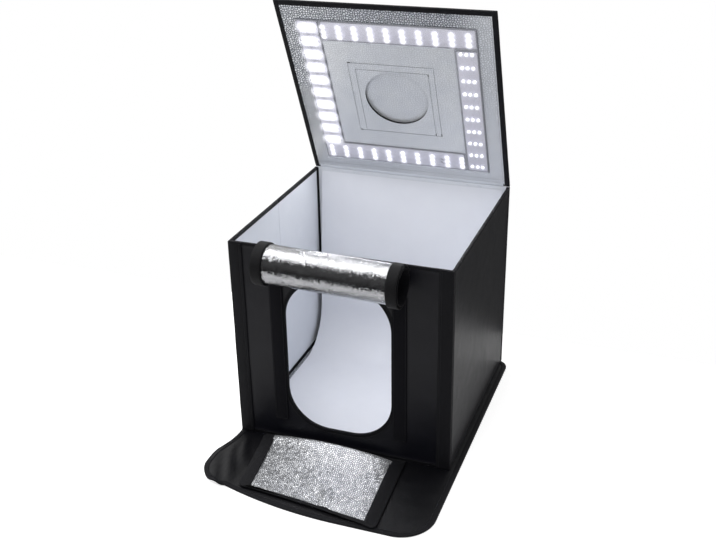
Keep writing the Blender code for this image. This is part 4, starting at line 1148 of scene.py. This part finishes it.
def makeLights():
    length = bars["size"] - bars["width"] - bars["endGap"]
    along = (bars["size"] - length) / 2
    across = (bars["width"] - bars["size"]) / 2
    margin = bars["wall"] + bars["room"]
    plateLength, plateWidth = length - 2 * margin, bars["width"] - 2 * margin
    seat = -(lid["outer"] + 0.0003)
    edge = bars["foamShadeEdge"]
    for turn, side in enumerate(("far", "right", "near", "left")):
        quarter = math.radians(90 * turn)
        x = bars["x"] + along * math.cos(quarter) - across * math.sin(quarter)
        y = -bars["distance"] + along * math.sin(quarter) + across * math.cos(quarter)
        place = (lidPlace @ Matrix.Translation((x, y, seat)) @ Matrix.Rotation(quarter, 4, "Z")
                 @ Matrix.Rotation(math.pi, 4, "X"))
        key = side.title()
        board = addBlock("lightBoard" + key, (-plateLength / 2, -plateWidth / 2, 0),
                         (plateLength / 2, plateWidth / 2, bars["plate"]))
        roundCorners(board, 0.002, 4)
        soften(board, 0.0002, 1, 60)
        dress(board, boardMask, place, "lid", ["light_board_" + side])
        # The grey foam rim, a little wider than the bar's cover, is also painted shade: the dark line along
        # the cover's edge.
        foam = addBlock("foamTape" + key, (-length / 2 - edge, -bars["width"] / 2 - edge, -0.0003),
                        (length / 2 + edge, bars["width"] / 2 + edge, 0.0))
        roundCorners(foam, 0.001, 2)
        dress(foam, foamTape, place, "lid")
        case, gel, spot, pad = makeEmitter(side)
        cases, gels, spots, pads = [], [], [], []
        for group in range(bars["groups"]):
            for row in range(bars["rows"]):
                centre = Vector((bars["shift"] + bars["pitch"] * (group - (bars["groups"] - 1) / 2),
                                 -bars["rowPitch"] * (row - 1), 0))
                for source, copies, offset in ((case, cases, 0), (gel, gels, 0), (spot, spots, 0),
                                               (pad, pads, emitter["padOffset"]),
                                               (pad, pads, -emitter["padOffset"])):
                    copy = source.copy()
                    copy.data = source.data.copy()
                    copy.data.transform(Matrix.Translation(centre + Vector((0, offset, 0))))
                    bpy.context.scene.collection.objects.link(copy)
                    copies.append(copy)
        for source in (case, gel, pad, spot):
            bpy.data.objects.remove(source)
        dress(joined("ledCases" + key, cases), ledCase, place, "lid")
        dress(joined("ledGlow" + key, gels), ledGlow, place, "lid")
        dress(joined("solderPads" + key, pads), solder, place, "lid")
        dress(joined("coverGlow" + key, spots), coverGlow, place, "lid")
        if side == "near":
            makeSolderEnd(place)
    print("lights made")


portCover = {"half": 0.0805, "far": -0.272, "near": -0.116, "coverNear": -0.1138, "tape": 0.013,
             "radius": 0.008, "stitchInset": 0.003, "seamRadius": 0.0015}


def makePortCover():
    # Closed on the lid's outer face: loop and hook tapes, a foil panel over the port and a black cover.
    seamHeight = lid["outer"] + 0.0003 + portCover["seamRadius"]
    near, far, coverNear = portCover["near"], portCover["far"], portCover["coverNear"]
    half, tape = portCover["half"], portCover["tape"]
    left, right, front = -half + tape, half - tape, far + tape
    for key, low, high, body, node in (("portHook", -0.0015, -0.0003, "lid", "port_hook_tape"),
                                       ("portLoop", 0.0, 0.0012, "port_cover", "port_loop_tape")):
        runs = [flatStrip(key, *run, seamHeight + low, seamHeight + high, 40, 0.0001)
                for run in ((-half, far, left, near), (right, far, half, near), (left, far, right, front))]
        dress(joined(key + "Tape", runs), loopTape, lidPlace, body, [node])
    grey = clothFace("portFoil", left, front, right, near, seamHeight, 1, 0.0002, 44)
    pressAll(grey, lid["flatPress"])
    dress(grey, liningFoil, lidPlace, "port_cover", ["port_cover_lining"])
    cover = addSheet("portCoverSkin", -half, far, half, coverNear, seamHeight + 0.0015, 0.006)
    layCloth(cover)
    shape(cover, lambda p: p + Vector((0, 0, 0.0012 + 0.0004 * ripple(p.x, p.y, 0.04, 46))))
    thicken(cover, 0.0012)
    keep = addBlock("keep", (-half, far, -0.05), (half, coverNear, 0.05))
    roundCorners(keep, portCover["radius"], 8, lambda p: p.y < -0.2)
    cutOut(cover, keep, "INTERSECT")
    dress(cover, wallCloth, lidPlace, "port_cover", ["port_cover"])
    inset = portCover["stitchInset"]
    squares = [boxLine(-half + inset, far + inset, half - inset, near), boxLine(left, front, right, near)]
    sew("portCoverStitches", squares, blackThread, lidPlace, "port_cover",
        level=seamHeight + 0.0028)
    cord = addCord("portSeam", -half, half, portCover["seamRadius"], 0, 0)
    dress(cord, pipingCloth, lidPlace @ Matrix.Translation((0, port["seam"], seamHeight)), "lid",
          ["port_cover_seam"])
    print("port cover made")


def dressNodes():
    # The CAD solids that stay in the picture: boards inside the walls, covers of the bars and the inlet.
    finishes = {name: greyBoard for name in nodes
                if name.endswith("_board") and not name.startswith("light")}
    finishes.update({"light_cover_" + side: clearPlastic for side in ("far", "right", "near", "left")})
    finishes.update({"power_inlet": blackPlastic, "power_inlet_flange": blackPlastic,
                     "power_inlet_pin": contactMetal})
    for name, material in finishes.items():
        nodes[name].data.materials.clear()
        nodes[name].data.materials.append(material)


makeLid()
makeLights()
makePortCover()
dressNodes()


studio = {"floorSize": (2.6, 1.3, 1), "floorPlace": (0.0, -0.33, -0.0005), "floorGlow": 0.6, "light": 0.5,
          "aim": (0, 0, 0.2)}
# Name, place, side in metres and power in watts
lamps = (("keyLamp", (-2.3, -0.5, 1.9), 1.4, 26), ("fillLamp", (0.1, -2.2, 2.0), 1.6, 14),
         ("topLamp", (-0.5, -0.2, 2.5), 2.0, 30), ("rightLamp", (2.0, 1.2, 0.9), 1.2, 4))
barLamp = {"length": 0.28, "width": 0.02, "level": -0.012, "far": 0.19, "near": 0.24, "left": 0.12,
           "right": 0.12}


def makeFloor():
    # Matte white paper, with a glow for the camera alone that brings it up to the white of the background.
    deselect()
    bpy.ops.mesh.primitive_plane_add(size=1, location=studio["floorPlace"])
    floor = named("studioFloor", studio["floorSize"])
    made, tree, output = newMaterial("matte white paper floor")
    place = addNode(tree, "ShaderNodeTexCoord").outputs["Object"]
    grain = addNode(tree, "ShaderNodeTexNoise", {"Scale": 300.0, "Detail": 2.0}, {"Vector": place})
    tone = addNode(tree, "ShaderNodeMix",
                   {"data_type": "RGBA", 6: hexColour("#E8E8E8"), 7: hexColour("#F0F0F0")},
                   {"Factor": grain.outputs["Fac"]})
    paper = addNode(tree, "ShaderNodeBsdfDiffuse", {}, {"Color": tone.outputs[2]})
    seen = addNode(tree, "ShaderNodeLightPath").outputs["Is Camera Ray"]
    strength = addNode(tree, "ShaderNodeMath", {"operation": "MULTIPLY", 1: studio["floorGlow"]}, {0: seen})
    glow = addNode(tree, "ShaderNodeEmission", {"Color": (1, 1, 1, 1)}, {"Strength": strength.outputs[0]})
    both = addNode(tree, "ShaderNodeAddShader", {}, {0: paper.outputs[0], 1: glow.outputs[0]})
    tree.links.new(both.outputs[0], output.inputs["Surface"])
    floor.data.materials.append(made)


def makeWorld():
    # White for the camera. Reflections see a bright ceiling and rear wall, and a dark room in front and below
    # the table. All else gets the plain light.
    world = bpy.data.worlds.new("studioWorld")
    bpy.context.scene.world = world
    world.use_nodes = True
    tree = world.node_tree
    tree.nodes.clear()
    seen = addNode(tree, "ShaderNodeLightPath")
    mirrored = addNode(tree, "ShaderNodeMath", {"operation": "MAXIMUM"},
                       {0: seen.outputs["Is Glossy Ray"], 1: seen.outputs["Is Transmission Ray"]})
    shown = addNode(tree, "ShaderNodeMath", {"operation": "MAXIMUM"},
                    {0: seen.outputs["Is Camera Ray"], 1: mirrored.outputs[0]})
    direction = addNode(tree, "ShaderNodeTexCoord").outputs["Generated"]
    split = addNode(tree, "ShaderNodeSeparateXYZ", {}, {0: direction})
    rear = addNode(tree, "ShaderNodeMapRange",
                   {"interpolation_type": "SMOOTHSTEP", "From Min": -0.34, "From Max": 0.06, "To Min": 0.06,
                    "To Max": 1.0}, {"Value": split.outputs["Y"]})
    below = addNode(tree, "ShaderNodeMapRange",
                    {"From Min": 0.0, "From Max": 0.3, "To Min": 0.1, "To Max": 1.0},
                    {"Value": split.outputs["Z"]})
    mood = addNode(tree, "ShaderNodeMath", {"operation": "MULTIPLY"},
                   {0: rear.outputs[0], 1: below.outputs[0]})
    room = addNode(tree, "ShaderNodeMath", {"operation": "MAXIMUM"},
                   {0: mood.outputs[0], 1: seen.outputs["Is Camera Ray"]})
    strength = addNode(tree, "ShaderNodeMix", {"data_type": "FLOAT", 2: studio["light"]},
                       {0: shown.outputs[0], 3: room.outputs[0]})
    back = addNode(tree, "ShaderNodeBackground", {"Color": (1, 1, 1, 1)}, {"Strength": strength.outputs[0]})
    addNode(tree, "ShaderNodeOutputWorld", {}, {"Surface": back.outputs[0]})


def addLamp(name, kind, size, power):
    data = bpy.data.lights.new(name, "AREA")
    data.shape = kind
    data.size = size
    data.energy = power
    lamp = bpy.data.objects.new(name, data)
    bpy.context.scene.collection.objects.link(lamp)
    return lamp


def makeLamps():
    for name, at, size, power in lamps:
        lamp = addLamp(name, "SQUARE", size, power)
        lamp.location = at
        lamp.rotation_euler = (Vector(studio["aim"]) - Vector(at)).to_track_quat("-Z", "Y").to_euler()
        # The fill only lifts the white cloth inside: it isn't seen in the foil.
        lamp.visible_glossy = name != "fillLamp"
    # The light of the four bars themselves, which moves with the top.
    reach = (bars["size"] - bars["width"]) / 2
    for side, x, y, turn in (("far", 0, -reach, 0), ("near", 0, reach, 0), ("left", -reach, 0, 90),
                             ("right", reach, 0, 90)):
        lamp = addLamp(side + "BarLamp", "RECTANGLE", barLamp["length"], barLamp[side])
        lamp.data.size_y = barLamp["width"]
        lamp.parent = bpy.data.objects["lidFoil"]
        middle = Matrix.Translation((bars["x"] + x, y - bars["distance"], barLamp["level"]))
        lamp.matrix_world = lidPlace @ middle @ Matrix.Rotation(math.radians(turn), 4, "Z")
        lamp.visible_camera = False
    print("studio lit")


# The camera that the photo was taken from: angles in degrees, place in metres, lens over the width of the
# frame.
view = {"azimuth": 20.6, "elevation": 25.3, "roll": -1.10, "place": (0.57585, -1.63523, 1.09134),
        "lensShare": 1031.7 / 716, "sensor": 36}


def makeCamera():
    azimuth, elevation, tilt = (math.radians(view[key]) for key in ("azimuth", "elevation", "roll"))
    back = Vector((math.sin(azimuth) * math.cos(elevation), -math.cos(azimuth) * math.cos(elevation),
                   math.sin(elevation)))
    right = (-back).cross(Vector((0, 0, 1))).normalized()
    up = right.cross(-back)
    turnedRight = math.cos(tilt) * right + math.sin(tilt) * up
    turnedUp = -math.sin(tilt) * right + math.cos(tilt) * up
    data = bpy.data.cameras.new("photoCamera")
    data.sensor_fit = "HORIZONTAL"
    data.sensor_width = view["sensor"]
    data.lens = view["lensShare"] * view["sensor"]
    camera = bpy.data.objects.new("photoCamera", data)
    camera.matrix_world = Matrix.Translation(view["place"]) @ Matrix(
        (turnedRight, turnedUp, back)).transposed().to_4x4()
    bpy.context.scene.collection.objects.link(camera)
    bpy.context.scene.camera = camera


makeFloor()
makeWorld()
makeLamps()
makeCamera()
bpy.context.scene.view_settings.view_transform = "Standard"
